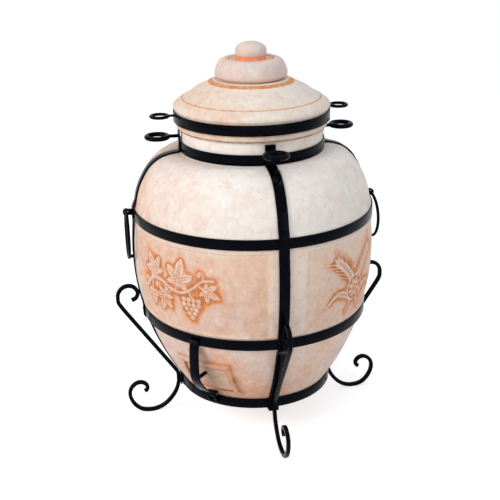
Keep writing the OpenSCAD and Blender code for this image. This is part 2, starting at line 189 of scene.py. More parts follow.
# %% [markdown]
# ## Floor, backdrop and light
# The oven stood on white paper with soft light from the left. The floor keeps a faint
# shadow. The white that the camera sees comes from the world and from a little glow in the
# floor for camera rays only, so no extra light falls on the clay.

# %% Floor and backdrop
FLOOR_REACH = 30
FLOOR_GLOW = 0.60
PAPER = (0.86, 0.86, 0.86, 1)
WHITE = (1, 1, 1, 1)
SKY = (0.94, 0.97, 1, 1)
SKY_STRENGTH = 0.48


def background_rays(tree):
    """1 for rays that should see plain white: from the camera, off gloss or through glass."""
    path = add(tree, "ShaderNodeLightPath").outputs
    seen = math_node(tree, "MAXIMUM", path["Is Camera Ray"], path["Is Glossy Ray"])
    return math_node(tree, "MAXIMUM", seen, path["Is Transmission Ray"])


def white_floor():
    """A broad sheet of white paper, drawn in metres."""
    mesh = bpy.data.meshes.new("floor")
    corners = [(x * FLOOR_REACH, y * FLOOR_REACH, 0) for x, y in ((-1, -1), (1, -1), (1, 1), (-1, 1))]
    mesh.from_pydata(corners, [], [(0, 1, 2, 3)])
    floor = put_in_scene("floor", mesh)
    material, tree, _ = new_material("white_paper")
    tree.nodes.clear()
    glow = add(tree, "ShaderNodeEmission", Color=WHITE)
    paper = add(tree, "ShaderNodeBsdfDiffuse", Color=PAPER)
    both = add(tree, "ShaderNodeAddShader")
    out = add(tree, "ShaderNodeOutputMaterial")
    connect(tree, [
        (times(tree, background_rays(tree), FLOOR_GLOW), glow.inputs["Strength"]),
        (glow.outputs[0], both.inputs[0]),
        (paper.outputs[0], both.inputs[1]),
        (both.outputs[0], out.inputs["Surface"]),
    ])
    mesh.materials.append(material)


def world_light():
    """A pale sky for the oven, and plain white for whoever looks past it."""
    world = bpy.data.worlds.new("studio")
    bpy.context.scene.world = world
    world.use_nodes = True
    tree = world.node_tree
    tree.nodes.clear()
    light = add(tree, "ShaderNodeBackground", Color=SKY, Strength=SKY_STRENGTH)
    white = add(tree, "ShaderNodeBackground", Color=WHITE, Strength=1.0)
    mix = add(tree, "ShaderNodeMixShader")
    out = add(tree, "ShaderNodeOutputWorld")
    connect(tree, [
        (background_rays(tree), mix.inputs[0]),
        (light.outputs[0], mix.inputs[1]),
        (white.outputs[0], mix.inputs[2]),
        (mix.outputs[0], out.inputs["Surface"]),
    ])


bpy.context.scene.view_settings.view_transform = "Standard"
white_floor()
world_light()
print("floor", 2 * FLOOR_REACH, "m wide under a sky of strength", SKY_STRENGTH)

# %% Softboxes
OVEN_MIDDLE = np.array([0, 0, 0.5])


def softbox(name, place, power, size, colour, turn_deg=0):
    """A soft rectangle of light, placed in metres, that looks at the middle of the oven."""
    lamp = bpy.data.lights.new(name, "AREA")
    lamp.shape = "RECTANGLE"
    lamp.energy = power
    lamp.color = colour
    lamp.size, lamp.size_y = size
    away = np.array(place, float) - OVEN_MIDDLE
    away /= np.linalg.norm(away)
    side = np.cross([0, 0, 1], away)
    side /= np.linalg.norm(side)
    rise = np.cross(away, side)
    turn = math.radians(turn_deg)
    matrix = np.eye(4)
    matrix[:3, 0] = side * math.cos(turn) + rise * math.sin(turn)
    matrix[:3, 1] = rise * math.cos(turn) - side * math.sin(turn)
    matrix[:3, 2] = away
    matrix[:3, 3] = place
    put_in_scene(name, lamp).matrix_world = matrix.T.tolist()


softbox("key_softbox", place=(-1.2, -3.1, 2.35), power=68, size=(1.6, 1.6), colour=(1.0, 0.985, 0.965))
softbox("side_softbox", place=(3.2, -1.4, 1.2), power=11, size=(1.2, 1.2), colour=(0.95, 0.97, 1.0))
softbox(
    "top_softbox", place=(0.62, 0.0, 2.5), power=9, size=(0.2, 1.6), colour=(0.76, 0.88, 1.0), turn_deg=45
)

# %% [markdown]
# ## Fired clay
# The clay is pale, with peach clouds where it was hotter in the kiln, brown specks and a
# fine grain. A picture could be wrapped round the jar, but noise in the object's own
# coordinates needs no seams and is as sharp as anyone looks. Jar, lid, cap and door share
# it, so it is a group with named inputs, and each material keeps its own shader.

# %% Masks of fired clay
def fired_clay_group():
    """Clouds, stains, chalky spots, specks, runs and grain, each as a mask of its own."""
    tree, gin, gout = group_tree(
        "fired_clay",
        {"Cloud Size": 3.2, "Speck Size": 190.0, "Shift": (0.0, 0.0, 0.0)},
        ["Cloud", "Blotch", "Patch", "Chalk", "Speck", "Mottle", "Streak", "Grain"],
    )
    moved = add(tree, "ShaderNodeVectorMath", operation="ADD")
    runs = add(tree, "ShaderNodeMapping", Scale=(1, 1, 0.16))
    connect(tree, [
        (add(tree, "ShaderNodeTexCoord").outputs["Object"], moved.inputs[0]),
        (gin.outputs["Shift"], moved.inputs[1]),
        (moved.outputs[0], runs.inputs["Vector"]),
    ])

    def noise(scale, detail, rough=0.55, place=moved):
        node = add(tree, "ShaderNodeTexNoise", Detail=detail, Roughness=rough)
        tree.links.new(place.outputs[0], node.inputs["Vector"])
        feed(tree, node.inputs["Scale"], scale)
        return node.outputs["Fac"]

    cloud_size = gin.outputs["Cloud Size"]
    patch = noise(46, 6, 0.7)
    speck = ramp(tree, noise(gin.outputs["Speck Size"], 2, 0.5), 0.66, 0.75)
    fleck = ramp(tree, noise(78, 3, 0.6), 0.69, 0.76)
    few = ramp(tree, noise(23, 3, 0.6), 0.45, 0.62)
    masks = {
        "Cloud": ramp(tree, noise(cloud_size, 4), 0.38, 0.66),
        "Blotch": ramp(tree, noise(times(tree, cloud_size, 5.5), 5, 0.62), 0.42, 0.72),
        "Patch": ramp(tree, patch, 0.50, 0.68),
        "Chalk": ramp(tree, patch, 0.47, 0.32),
        "Speck": times(tree, math_node(tree, "MAXIMUM", speck, fleck), few),
        "Mottle": ramp(tree, noise(75, 6, 0.68), 0.34, 0.68),
        "Streak": ramp(tree, noise(46, 5, 0.62, runs), 0.56, 0.74),
        "Grain": math_node(tree, "ADD", noise(420, 3, 0.6), times(tree, noise(60, 4, 0.6), 2.0)),
    }
    for name, mask in masks.items():
        tree.links.new(mask, gout.inputs[name])
    return tree


FIRED_CLAY = fired_clay_group()
print("fired clay nodes:", len(FIRED_CLAY.nodes))

# %% Painted rings
def painted_ring_group():
    """A ring of colour round the upright axis, at a radius and a height, with an uneven edge; it draws
    painted lines, and on the lid also painted shade at the seam and under the hoop.
    """
    tree, gin, gout = group_tree(
        "painted_ring", {"Radius": 0.1, "Height": 0.1, "Half Width": 0.002, "Waver": 0.001}, ["Ring"]
    )
    spot = add(tree, "ShaderNodeTexCoord").outputs["Object"]
    parts = add(tree, "ShaderNodeSeparateXYZ")
    noise = add(tree, "ShaderNodeTexNoise", Scale=38.0, Detail=4.0, Roughness=0.65)
    connect(tree, [(spot, parts.inputs[0]), (spot, noise.inputs["Vector"])])

    def distance(one_way, other_way):
        squares = [times(tree, way, way) for way in (one_way, other_way)]
        return math_node(tree, "SQRT", math_node(tree, "ADD", *squares))

    flat = distance(parts.outputs[0], parts.outputs[1])
    out_by = math_node(tree, "SUBTRACT", flat, gin.outputs["Radius"])
    up_by = math_node(tree, "SUBTRACT", parts.outputs[2], gin.outputs["Height"])
    sway = times(tree, math_node(tree, "SUBTRACT", noise.outputs["Fac"], 0.5), gin.outputs["Waver"])
    far = math_node(tree, "ADD", distance(out_by, up_by), times(tree, sway, 4.0))
    edge = math_node(tree, "SUBTRACT", far, gin.outputs["Half Width"])
    tree.links.new(ramp(tree, edge, 0.0009, -0.0007), gout.inputs["Ring"])
    return tree


PAINTED_RING = painted_ring_group()
print("painted ring inputs:", [i.name for i in PAINTED_RING.interface.items_tree if i.in_out == "INPUT"])

# %% Colours of the clay
PALE = (0.88, 0.70, 0.56)
PEACH = (0.85, 0.42, 0.235)
BROWN = (0.36, 0.17, 0.07)
ASH = (0.80, 0.63, 0.56)
# Painted shade: a dark brown for the seam where the lid sits on the neck.
PAINTED_SEAM_SHADE = (0.20, 0.09, 0.04)
TAN = (0.62, 0.35, 0.19)
CHALK = (0.98, 0.93, 0.87)
OCHRE = (0.84, 0.235, 0.035)
LINE = (0.68, 0.24, 0.05)


def wash_layers(tree, clay, heat):
    """Ash between the clouds, then the stains that are kept on the piece's own vertices; the chalk among them
    is partly painted light.
    """
    worn = scaled(tree, clay["Blotch"], 0.7, 0.75)
    uneven = scaled(tree, clay["Blotch"], 0.34, 0.18)
    tinted = math_node(tree, "ADD", times(tree, clay["Cloud"], 0.30), uneven)
    between = math_node(tree, "SUBTRACT", 1.0, clay["Cloud"])
    layers = [(times(tree, between, times(tree, heat, 0.7)), ASH)]
    for attribute, tint, strength in (
        ("ground", PEACH, tinted), ("border", PALE, 0.5), ("chalk_and_painted_light", CHALK, 1.0),
        ("wash", OCHRE, worn), ("brown_mark", BROWN, worn),
    ):
        mask = add(tree, "ShaderNodeAttribute", attribute_name=attribute).outputs["Fac"]
        layers.append((times(tree, mask, strength, clamp=True), tint))
    return layers


def ring_layer(tree, clay, radius, height, half_width, tint, strength):
    """One ring, rubbed thin in places: a painted line, and on the lid also painted shade."""
    ring = add(
        tree, "ShaderNodeGroup", node_tree=PAINTED_RING,
        Radius=radius * MM, Height=height * MM, Half_Width=half_width * MM, Waver=0.0006,
    )
    rubbed = times(tree, scaled(tree, clay["Mottle"], 0.45, 0.62), strength)
    return times(tree, ring.outputs["Ring"], rubbed, clamp=True), tint


print("clay colours from", PALE, "to", PAINTED_SEAM_SHADE)

# %% Clay as a material
def clay_material(name, shift, warm, tone, cloud=1.0, rings=(), wash=False):
    """Matte clay: its tone above, peach below where the jar was hot, then stains on top."""
    material, tree, shader = new_material(name)
    clay = add(tree, "ShaderNodeGroup", node_tree=FIRED_CLAY, Shift=shift).outputs
    parts = add(tree, "ShaderNodeSeparateXYZ")
    tree.links.new(add(tree, "ShaderNodeTexCoord").outputs["Object"], parts.inputs[0])
    lean = math_node(tree, "ADD", parts.outputs[2], times(tree, parts.outputs[0], 0.8))
    warm_low, warm_high = warm
    heat = times(tree, ramp(tree, lean, warm_high, warm_low), cloud)
    hot_cloud = times(tree, clay["Cloud"], heat, clamp=True)
    smudge = times(tree, clay["Blotch"], times(tree, heat, 0.45))
    layers = [
        (times(tree, clay["Blotch"], 0.6), PALE),
        (times(tree, hot_cloud, 0.8), PEACH),
        (math_node(tree, "ADD", smudge, times(tree, heat, 0.26)), PEACH),
    ]
    if wash:
        layers += wash_layers(tree, clay, heat)
    layers += [
        (times(tree, clay["Patch"], scaled(tree, heat, 0.22, 0.16)), TAN),
        (times(tree, clay["Chalk"], 0.35), CHALK),
        (times(tree, clay["Mottle"], scaled(tree, heat, 0.13, 0.08)), BROWN),
        (times(tree, clay["Streak"], 0.28), TAN),
        (times(tree, clay["Speck"], 0.55), BROWN),
    ]
    layers += [ring_layer(tree, clay, *ring) for ring in rings]
    colour = tone
    for mask, tint in layers:
        colour = mix_colour(tree, mask, colour, tint)
    dry = scaled(tree, clay["Blotch"], 0.12, 0.62)
    connect(tree, [(colour, shader.inputs["Base Color"]), (dry, shader.inputs["Roughness"])])
    shader.inputs["Specular IOR Level"].default_value = 0.35
    bump_from(tree, shader, clay["Grain"], strength=0.6)
    return material


jar_clay = clay_material(
    "jar_clay", shift=(0.0, 0.0, 0.0), warm=(0.20, 0.80), tone=(0.965, 0.895, 0.83), cloud=0.95, wash=True
)
panel_clay = clay_material(
    "panel_clay", shift=(0.3, 0.1, 0.0), warm=(0.40, 0.80), tone=(0.92, 0.70, 0.56), wash=True
)
door_clay = clay_material(
    "door_clay", shift=(0.7, 0.2, 0.1), warm=(0.30, 0.70), tone=(0.80, 0.62, 0.50), cloud=0.9, wash=True
)
print("clay with a wash:", jar_clay.name, panel_clay.name, door_clay.name)

# %% Clay with painted rings
LID_RINGS = [
    (170.5, 844.0, 2.0, LINE, 0.8), (100.5, 884.0, 6.2, LINE, 1.1),
    # Painted shade: the first ring on the next line darkens the seam where the lid sits on the neck.
    # Painted shadow: the second ring on the next line is a thin brown line just under the lid hoop.
    (184.0, 770.6, 5.0, PAINTED_SEAM_SHADE, 0.85), (188.9, 786.5, 1.8, BROWN, 0.5),
]
CAP_RINGS = [(36.5, 939.0, 6.0, OCHRE, 0.9), (54.5, 935.6, 2.0, LINE, 1.0), (46.0, 934.3, 2.4, OCHRE, 0.4)]
lid_clay = clay_material(
    "lid_clay", shift=(0.2, 0.9, 0.3), warm=(0.70, 1.05), tone=(0.87, 0.79, 0.70), cloud=0.7, rings=LID_RINGS
)
cap_clay = clay_material(
    "cap_clay", shift=(0.5, 0.4, 0.9), warm=(0.86, 1.05), tone=(0.75, 0.63, 0.58), cloud=0.3, rings=CAP_RINGS
)
print("painted rings on the lid:", len(LID_RINGS), "on the cap:", len(CAP_RINGS))

# %% [markdown]
# ## Black painted iron, cast iron and bare steel
# The cage is brushed over with gloss black. The paint is thick, so it has soft waves and
# takes broad bluish lights. One group gives the waves and the dust, and three shaders use
# it: paint, the raw cast grate and the turned pin.

# %% Skin of the iron
def iron_skin_group():
    """Soft waves, fine pits and dust, as on brushed or cast iron."""
    tree, gin, gout = group_tree("iron_skin", {"Wave Size": 55.0, "Pit Size": 700.0}, ["Wave", "Pit", "Dust"])
    spot = add(tree, "ShaderNodeTexCoord").outputs["Object"]
    for size, out, detail in (("Wave Size", "Wave", 3.0), ("Pit Size", "Pit", 2.0)):
        noise = add(tree, "ShaderNodeTexNoise", Detail=detail, Roughness=0.55)
        connect(tree, [
            (spot, noise.inputs["Vector"]),
            (gin.outputs[size], noise.inputs["Scale"]),
            (noise.outputs["Fac"], gout.inputs[out]),
        ])
    noise = add(tree, "ShaderNodeTexNoise", Scale=14.0, Detail=6.0, Roughness=0.7)
    tree.links.new(spot, noise.inputs["Vector"])
    tree.links.new(ramp(tree, noise.outputs["Fac"], 0.48, 0.75), gout.inputs["Dust"])
    return tree


IRON_SKIN = iron_skin_group()
print("iron skin nodes:", len(IRON_SKIN.nodes))

# %% Iron finishes
def iron_material(name, dark, dust_and_painted_light, metallic, rough, wave, pit):
    """One finish of iron: its colour, how dull it is, and how deep its waves and pits are."""
    material, tree, shader = new_material(name)
    skin = add(tree, "ShaderNodeGroup", node_tree=IRON_SKIN).outputs
    height = math_node(tree, "ADD", times(tree, skin["Wave"], wave), times(tree, skin["Pit"], pit))
    connect(tree, [
        (mix_colour(tree, skin["Dust"], dark, dust_and_painted_light), shader.inputs["Base Color"]),
        (scaled(tree, skin["Dust"], 0.16, rough), shader.inputs["Roughness"]),
    ])
    shader.inputs["Metallic"].default_value = metallic
    bump_from(tree, shader, height, strength=0.5)
    return material


black_iron = iron_material(
    "gloss_black_paint", dark=(0.0008, 0.0007, 0.0013), dust_and_painted_light=(0.0025, 0.0024, 0.0036),
    metallic=0.0, rough=0.22, wave=0.8, pit=0.05,
)
grate_iron = iron_material(
    "cast_grate_iron", dark=(0.045, 0.043, 0.042), dust_and_painted_light=(0.10, 0.075, 0.055),
    metallic=0.6, rough=0.55, wave=0.6, pit=0.5,
)
bare_steel = iron_material(
    "turned_steel", dark=(0.30, 0.30, 0.31), dust_and_painted_light=(0.20, 0.19, 0.18),
    metallic=1.0, rough=0.32, wave=0.1, pit=0.1,
)
paint = black_iron.node_tree.nodes["Principled BSDF"]
paint.inputs["Specular IOR Level"].default_value = 0.055
paint.inputs["Specular Tint"].default_value = (0.56, 0.70, 1.0, 1)
print("iron materials:", black_iron.name, grate_iron.name, bare_steel.name)

# %% [markdown]
# ## From points to pieces
# Every piece ends as one plain mesh at the origin. These cells hold the tools that all of
# them use: a smooth curve through key places, a mesh from points, a lathe, and the few words
# that tell the frame which body a piece rides on and which CAD node it stands in for.

# %% Curves and meshes
def smooth_path(keys, steps):
    """Curve through every key place, with that many steps from one to the next."""
    p = np.array(keys, float)
    p = np.vstack([p[:1], p, p[-1:]])
    out = []
    for i in range(1, len(p) - 2):
        for t in np.arange(steps) / steps:
            out.append(0.5 * (2 * p[i] + (p[i + 1] - p[i - 1]) * t
                              + (2 * p[i - 1] - 5 * p[i] + 4 * p[i + 1] - p[i + 2]) * t * t
                              + (3 * p[i] - p[i - 1] - 3 * p[i + 1] + p[i + 2]) * t ** 3))
    out.append(p[-2])
    return np.array(out)


def round_axis(radius, angle, z):
    """Places at a radius and a height, turned by an angle from the draft door."""
    return np.stack(np.broadcast_arrays(radius * np.sin(angle), -radius * np.cos(angle), z), axis=-1)


def crisp(mesh, sharp):
    """Smooth shading that keeps edges sharper than that angle."""
    mesh.shade_smooth()
    mesh.set_sharp_from_angle(angle=math.radians(sharp))


def clean_mesh(mesh, reach, sharp):
    """Merges points closer than the reach, turns the faces outwards and shades them."""
    work = bmesh.new()
    work.from_mesh(mesh)
    bmesh.ops.remove_doubles(work, verts=work.verts, dist=reach)
    bmesh.ops.recalc_face_normals(work, faces=work.faces)
    work.to_mesh(mesh)
    work.free()
    crisp(mesh, sharp)


def mesh_piece(name, points, faces, material, sharp):
    """An object from points in millimetres."""
    mesh = bpy.data.meshes.new(name)
    mesh.from_pydata((np.array(points, float) * MM).tolist(), [], faces)
    mesh.materials.append(material)
    clean_mesh(mesh, reach=0.00001, sharp=sharp)
    return put_in_scene(name, mesh)


def triangles(piece):
    """How many triangles a piece comes to."""
    return sum(len(face.vertices) - 2 for face in piece.data.polygons)


print("three keys make", len(smooth_path([(0, 0), (1, 1), (2, 0)], 12)), "places on a curve")

# %% Lathe
TIP = 1e-6


def ring_faces(a, b, tip_a, tip_b, count, left_out=()):
    """Faces between two rings whose points start at a and b; a tip is a ring of one point."""
    faces = []
    for k in range(0 if tip_a and tip_b else count):
        n = (k + 1) % count
        if k in left_out:
            continue
        if tip_a:
            faces.append((a, b + n, b + k))
        elif tip_b:
            faces.append((a + k, a + n, b))
        else:
            faces.append((a + k, a + n, b + n, b + k))
    return faces


def lathe(name, loop, material, sharp, segments=256):
    """Turns a closed loop of [radius, height] round the upright axis."""
    turn = np.arange(segments) * 2 * math.pi / segments
    points, start, faces = [], [], []
    for r, z in loop:
        start.append(len(points))
        points.extend([(0, 0, z)] if r < TIP else round_axis(r, turn, z))
    for i in range(len(loop)):
        j = (i + 1) % len(loop)
        faces += ring_faces(start[i], start[j], loop[i][0] < TIP, loop[j][0] < TIP, segments)
    return mesh_piece(name, points, faces, material, sharp)


print("a ring of 256 has", len(ring_faces(0, 256, False, False, 256)), "faces to the next")

# %% Masks, bodies and slots
def paint_values(piece, values):
    """Keeps named masks on the first vertices of a piece, for its material to read."""
    for key, flat in values.items():
        full = np.zeros(len(piece.data.vertices), np.float32)
        full[: len(flat)] = flat
        piece.data.attributes.new(key, "FLOAT", "POINT").data.foreach_set("value", full)


def dress(piece, body, node):
    """The body that a piece rides on, and the CAD node that it stands in for."""
    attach(piece, body)
    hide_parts(node)
    return piece


# %% [markdown]
# ## The line of the jar
# One line rules the jar: its radius at each height. The cage, the panels and the door all
# follow it. Flat seats are turned into the clay where the two broad hoops sit.

# %% Jar line
JAR_Z, NECK_R, RIM_Z = 84.0, 176.0, 771.0
BAR_W, BAR_T, FIT = 26.0, 4.0, 0.1
RIB_TURNS = {"front_left": -50.0, "front_right": 43.5, "back_right": 136.0, "back_left": 225.0}
HOOPS = {
    "bottom": (86.0, 194.0), "lower": (290.0, 283.848), "shoulder": (550.0, 299.068),
    "neck": (715.5, NECK_R), "lid": (789.0, 189.5),
}
SEAT_REACH, SEAT_EASE = 14.5, 5
HEEL_TOP, HEEL_R, HEEL_STEP = 118, 198, 4
jar_keys = [
    (34, 198), (60, 215.5), (92, 233.5), (128, 251), (166, 266.8), (219.5, 284), (266, 295.2),
    (316, 303.1), (381, 306.5), (441, 303.6), (479.5, 299), (521, 293.5), (551, 284.5), (578, 271),
    (600, 255.48), (617, 233.48), (625.5, 209), (628.5, 188),
]
jar_line = smooth_path([(r, JAR_Z + above_foot) for above_foot, r in jar_keys], 12)


def ease(x):
    """Goes softly from 0 to 1 as x does."""
    x = np.clip(x, 0, 1)
    return x * x * (3 - 2 * x)


def jar_radius(z):
    """Outer radius of the clay at a height between the base and the neck."""
    z = np.asarray(z, float)
    r = np.interp(z, jar_line[:, 1], jar_line[:, 0])
    for hoop in ("lower", "shoulder"):
        foot, seat = HOOPS[hoop]
        past_bar = np.abs(z - foot - BAR_W / 2) - SEAT_REACH
        r = seat + (r - seat) * ease(past_bar / SEAT_EASE)
    return np.where(z < HEEL_TOP, HEEL_R - HEEL_STEP * ease((HEEL_TOP - z) / 5), r)


print("belly radius:", round(float(jar_radius(465)), 1), "mm")

# %% [markdown]
# ## The jar
# The jar is one closed mesh: outside, rim, inside and floor are rows of one grid, and the
# columns round the front are spaced so that they follow the straight sides of the draft
# opening. A boolean cut would be shorter to write, but it leaves long thin faces that
# shade badly. Here the opening is a window left out of the grid, with its own walls.

# %% Columns of the jar
SILL, HEAD, DOOR_W = 139.0, 216.0, 117.0
BACK_COLUMNS = 200
edge_x = [DOOR_W / 2, 59.2, 60.6, 62.5, 66.0, 69.5, 71.6, 72.8, 73.5, 75.0, 79.0, 84.0]
door_x = list(np.linspace(-DOOR_W / 2, DOOR_W / 2, 15))[1:-1]
front_x = np.array([-x for x in reversed(edge_x)] + door_x + edge_x)
columns_round = len(front_x) + BACK_COLUMNS
window = (len(edge_x) - 1, len(edge_x) + len(door_x))


def column_angles(even_r):
    """Angle of every column: straight lines at the front, evenly spread behind."""
    front = np.arcsin(front_x / even_r)
    back = np.linspace(front[-1], 2 * math.pi + front[0], BACK_COLUMNS + 2)[1:-1]
    return np.concatenate([front, back])


def even_radius(r, z, outside):
    """The radius that spaces a row's columns, so that they stay in line from row to row."""
    if outside:
        return np.clip(r, 194, 283.8) if z < 300 else 283.8
    if z > HEAD:
        return np.interp(z, [HEAD, 330, RIM_Z], [float(np.clip(r, 150, 210)), 250, 283.8])
    return max(r, 150)


print("columns round the jar:", columns_round)

# %% Rows of the jar
TUNNEL_STEPS = 13
BASE = [(0, 84), (95, 84), (178, 84), (188, 84.2), (192.4, 85.4), (194, 88)]
NECK = [(182, 713.1), (178.4, 714.4), (176.4, 716.6)] + [(NECK_R, z) for z in (720, 741, 752, 762)]
RIM = [(175.8, 767), (174.8, 769.8), (172.5, RIM_Z), (155, RIM_Z), (137.5, RIM_Z), (135, 769.9), (134, 767)]
CAVE = [
    (134, 720), (134, 678.5), (156, 668.5), (189.3, 660), (214.65, 645), (234.53, 620), (249.74, 590),
    (256.55, 535), (260.5, 465), (257.1, 400), (244.84, 330), (220.8, 250), (205, 212), (187.5, 176),
    (166.87, 140),
]
FLOOR = [(160, 133.5), (151.5, 130.5), (110, 130), (0, 130)]
tunnel_z = list(np.linspace(SILL, HEAD, TUNNEL_STEPS + 1))
outer_z = list(np.arange(90, 113, 4.5)) + [113.5, 115, 117, 119.5, 123, 127, 131, 134.5, 136, 137, 138]
outer_z += tunnel_z + [217, 218, 220, 224.5, 229, 230.3, 231.4, 232.3, 233, 234.5, 238]
outer_z += list(np.arange(243, 688, 5.0))
shoulder = jar_line[jar_line[:, 1] > 689][::2]
outer_rows = BASE + [(float(jar_radius(z)), z) for z in outer_z] + [tuple(p) for p in shoulder] + NECK + RIM
cave_z, cave_r = np.array(CAVE)[::-1, 1], np.array(CAVE)[::-1, 0]
inner_rows = [(134, 740), (134, 705)] + [tuple(p) for p in smooth_path(CAVE[1:12], 3)[:-1]]
inner_rows += [(220.8, 250), (214, 234)]
inner_rows += [(float(np.interp(z, cave_z, cave_r)), z) for z in reversed(tunnel_z)] + FLOOR
rows = outer_rows + inner_rows
out_first = len([1 for r, z in outer_rows if z < SILL - TIP])
in_first = len(outer_rows) + next(i for i, (r, z) in enumerate(inner_rows) if abs(z - HEAD) < TIP)
print("rows outside and inside:", len(outer_rows), len(inner_rows))

# %% Moulding and dents
MOULDING_ASIDE = (
    [58.5, 59.2, 60.6, 62.5, 69.5, 71.6, 72.8, 73.5, 75.0],
    [4.6, 5.3, 5.8, 6, 6, 5.3, 3.6, 1.2, 0],
)
MOULDING_UP = (
    [136, 137, 138.5, 216, 217, 219, 229, 231, 232.3, 233, 234.5],
    [0, 3, 6, 4.6, 5.4, 6, 6, 5.3, 3.6, 1.2, 0],
)
MOULDING_HIGH = 6
DENT = 0.28


def moulding(x, z):
    """How far the raised moulding round the draft opening stands off the jar."""
    side = np.interp(np.abs(x), *MOULDING_ASIDE)
    top = np.interp(z, *MOULDING_UP)
    beside = side * np.clip((z - 136) / 2.5, 0, 1)
    above = np.minimum(side, MOULDING_HIGH) * top / MOULDING_HIGH
    return np.where(z < HEAD, beside, above)


def wobble(angle, z):
    """Slow dents of hand-turned clay, always inwards, and none at the hoops."""
    slow = np.sin(3 * angle + z / 90) + np.sin(7 * angle - z / 47 + 1.3)
    wave = slow + np.sin(13 * angle + z / 23 + 0.4) * 0.5
    calm = np.ones_like(z)
    for foot, _ in HOOPS.values():
        calm = calm * ease((np.abs(z - foot - BAR_W / 2) - 16) / 14)
    return -DENT * (wave + 2.5) * calm


around = np.linspace(0, 2 * math.pi, 90)
print("deepest dent at the belly:", round(float(wobble(around, np.full(90, 465.0)).min()), 2), "mm")

# %% Jar mesh
PANEL_LOW, PANEL_HIGH = 303.0, 563.0
PANEL_BED = 5


def row_places(r, z, outside):
    """The points of one row, with its dents, the moulding and the bed of the panels."""
    angle = column_angles(even_radius(r, z, outside))
    radius = np.full(columns_round, float(r))
    if outside and 110 < z < 709:
        dents = wobble(angle, float(z))
        radius = radius + dents
        if 134 < z < 236:
            front = slice(len(front_x))
            near = ease((84 - np.abs(front_x)) / 5)
            radius[front] = radius[front] - near * dents[front] + moulding(front_x, z)
            angle[front] = np.arcsin(front_x / radius[front])
        if 300 < z < 552:
            radius = radius - PANEL_BED * ease((z - PANEL_LOW) / 6) * ease((PANEL_HIGH - z) / 6)
    return round_axis(radius, angle, z)


def tunnel_faces(start):
    """Walls of the draft opening, from the window outside to the one inside."""
    outer = start[out_first:out_first + TUNNEL_STEPS + 1]
    inner = start[in_first:in_first + TUNNEL_STEPS + 1][::-1]
    faces = []
    for step in range(TUNNEL_STEPS):
        for k in window:
            faces.append((outer[step] + k, outer[step + 1] + k, inner[step + 1] + k, inner[step] + k))
    for k in range(*window):
        for step in (0, TUNNEL_STEPS):
            faces.append((outer[step] + k, outer[step] + k + 1, inner[step] + k + 1, inner[step] + k))
    return faces


def jar_mesh():
    """Joins the rows into one skin and leaves the window of the draft opening out."""
    points, start, faces = [], [], []
    for index, (r, z) in enumerate(rows):
        start.append(len(points))
        points.extend([(0, 0, z)] if r < TIP else row_places(r, z, index < len(outer_rows)))
    for i in range(len(rows) - 1):
        at_door = any(first <= i < first + TUNNEL_STEPS for first in (out_first, in_first))
        left_out = range(*window) if at_door else ()
        tips = (rows[i][0] < TIP, rows[i + 1][0] < TIP)
        faces += ring_faces(start[i], start[i + 1], *tips, columns_round, left_out)
    return mesh_piece("jar", points, faces + tunnel_faces(start), jar_clay, sharp=50)


jar = jar_mesh()
print("jar:", triangles(jar), "triangles")

# %% [markdown]
# ## Stains round the draft opening
# Smoke and ochre gather in the corners of the moulding and run down from it. Painting them
# by hand would be quick, but a few soft stripes worked out at every vertex give the same
# stain each time, and the door beside the jar can share them.

# %% Stains
DRIPS = ((66, 2.0, 150, 228), (72.5, 1.8, 128, 205), (81, 2.8, 116, 190), (-75, 2.2, 150, 222))


def band(distance, wide):
    """A soft stripe that is strongest where the distance is 0."""
    return np.exp(-(distance / wide) ** 2)


def opening_stain(piece):
    """Ochre and soot that gather along the edges of the draft opening."""
    spot = np.array([v.co for v in piece.data.vertices]) / MM
    across_x, z = spot[:, 0], spot[:, 2]
    x = np.abs(across_x)
    near = (spot[:, 1] < -150) & (np.hypot(across_x, spot[:, 1]) > 190)
    waves = np.sin(0.071 * across_x + 1.1) * np.sin(0.093 * z + 0.6)
    waves = waves + 0.35 * np.sin(0.31 * z + 0.17 * across_x)
    patchy = 0.35 + 0.65 * np.abs(waves)
    inner = patchy * np.maximum(band(x - 59, 3.0) * (z < 219), band(z - 217, 3.2) * (x < 62))
    outer = np.maximum(band(x - 75, 3.4) * (z < 236), band(z - 235, 3.4) * (x < 77)) * (1.35 - patchy)
    foot = patchy * band(z - 137.5, 3.0) * (x < 76)
    sooty = band(np.hypot(x, z - 196) - 11, 7.0) * (x < 30)
    sooty = sooty + 0.5 * band(z - 176 - 0.012 * x ** 2, 4.0) * (x < 34)
    drips = np.zeros(len(spot))
    for at, wide, low_end, high_end in DRIPS:
        drips += band(across_x - at, wide) * ease((z - low_end) / 14) * ease((high_end - z) / 14)
    about = ease((150 - x) / 60) * ease((z - 104) / 20) * ease((289 - z) / 50)
    above_sill = z > 128
    wash = above_sill * (0.6 * outer + 0.5 * inner + 0.5 * foot) + 0.4 * drips + 0.13 * about
    brown_mark = above_sill * (0.70 * inner + 0.45 * outer + 0.45 * sooty * (x < 57)) + 0.45 * drips
    paint_values(piece, {"wash": near * np.clip(wash, 0, 1), "brown_mark": near * np.clip(brown_mark, 0, 1)})


opening_stain(jar)
print("drips below the moulding:", len(DRIPS))

# %% [markdown]
# ## Panels with pressed ornament
# Between the two broad hoops each quarter of the jar has a sunk field in a plain pale
# border, with an ornament pressed from a mould and rubbed with ochre. The ornament here is
# a common one: a grape vine, and wheat ears round a rosette. Each shape is a distance to a
# stroke or an outline, which gives a height at every point of a fine grid. Sculpting by
# hand would be slower and harder to repeat on four panels.

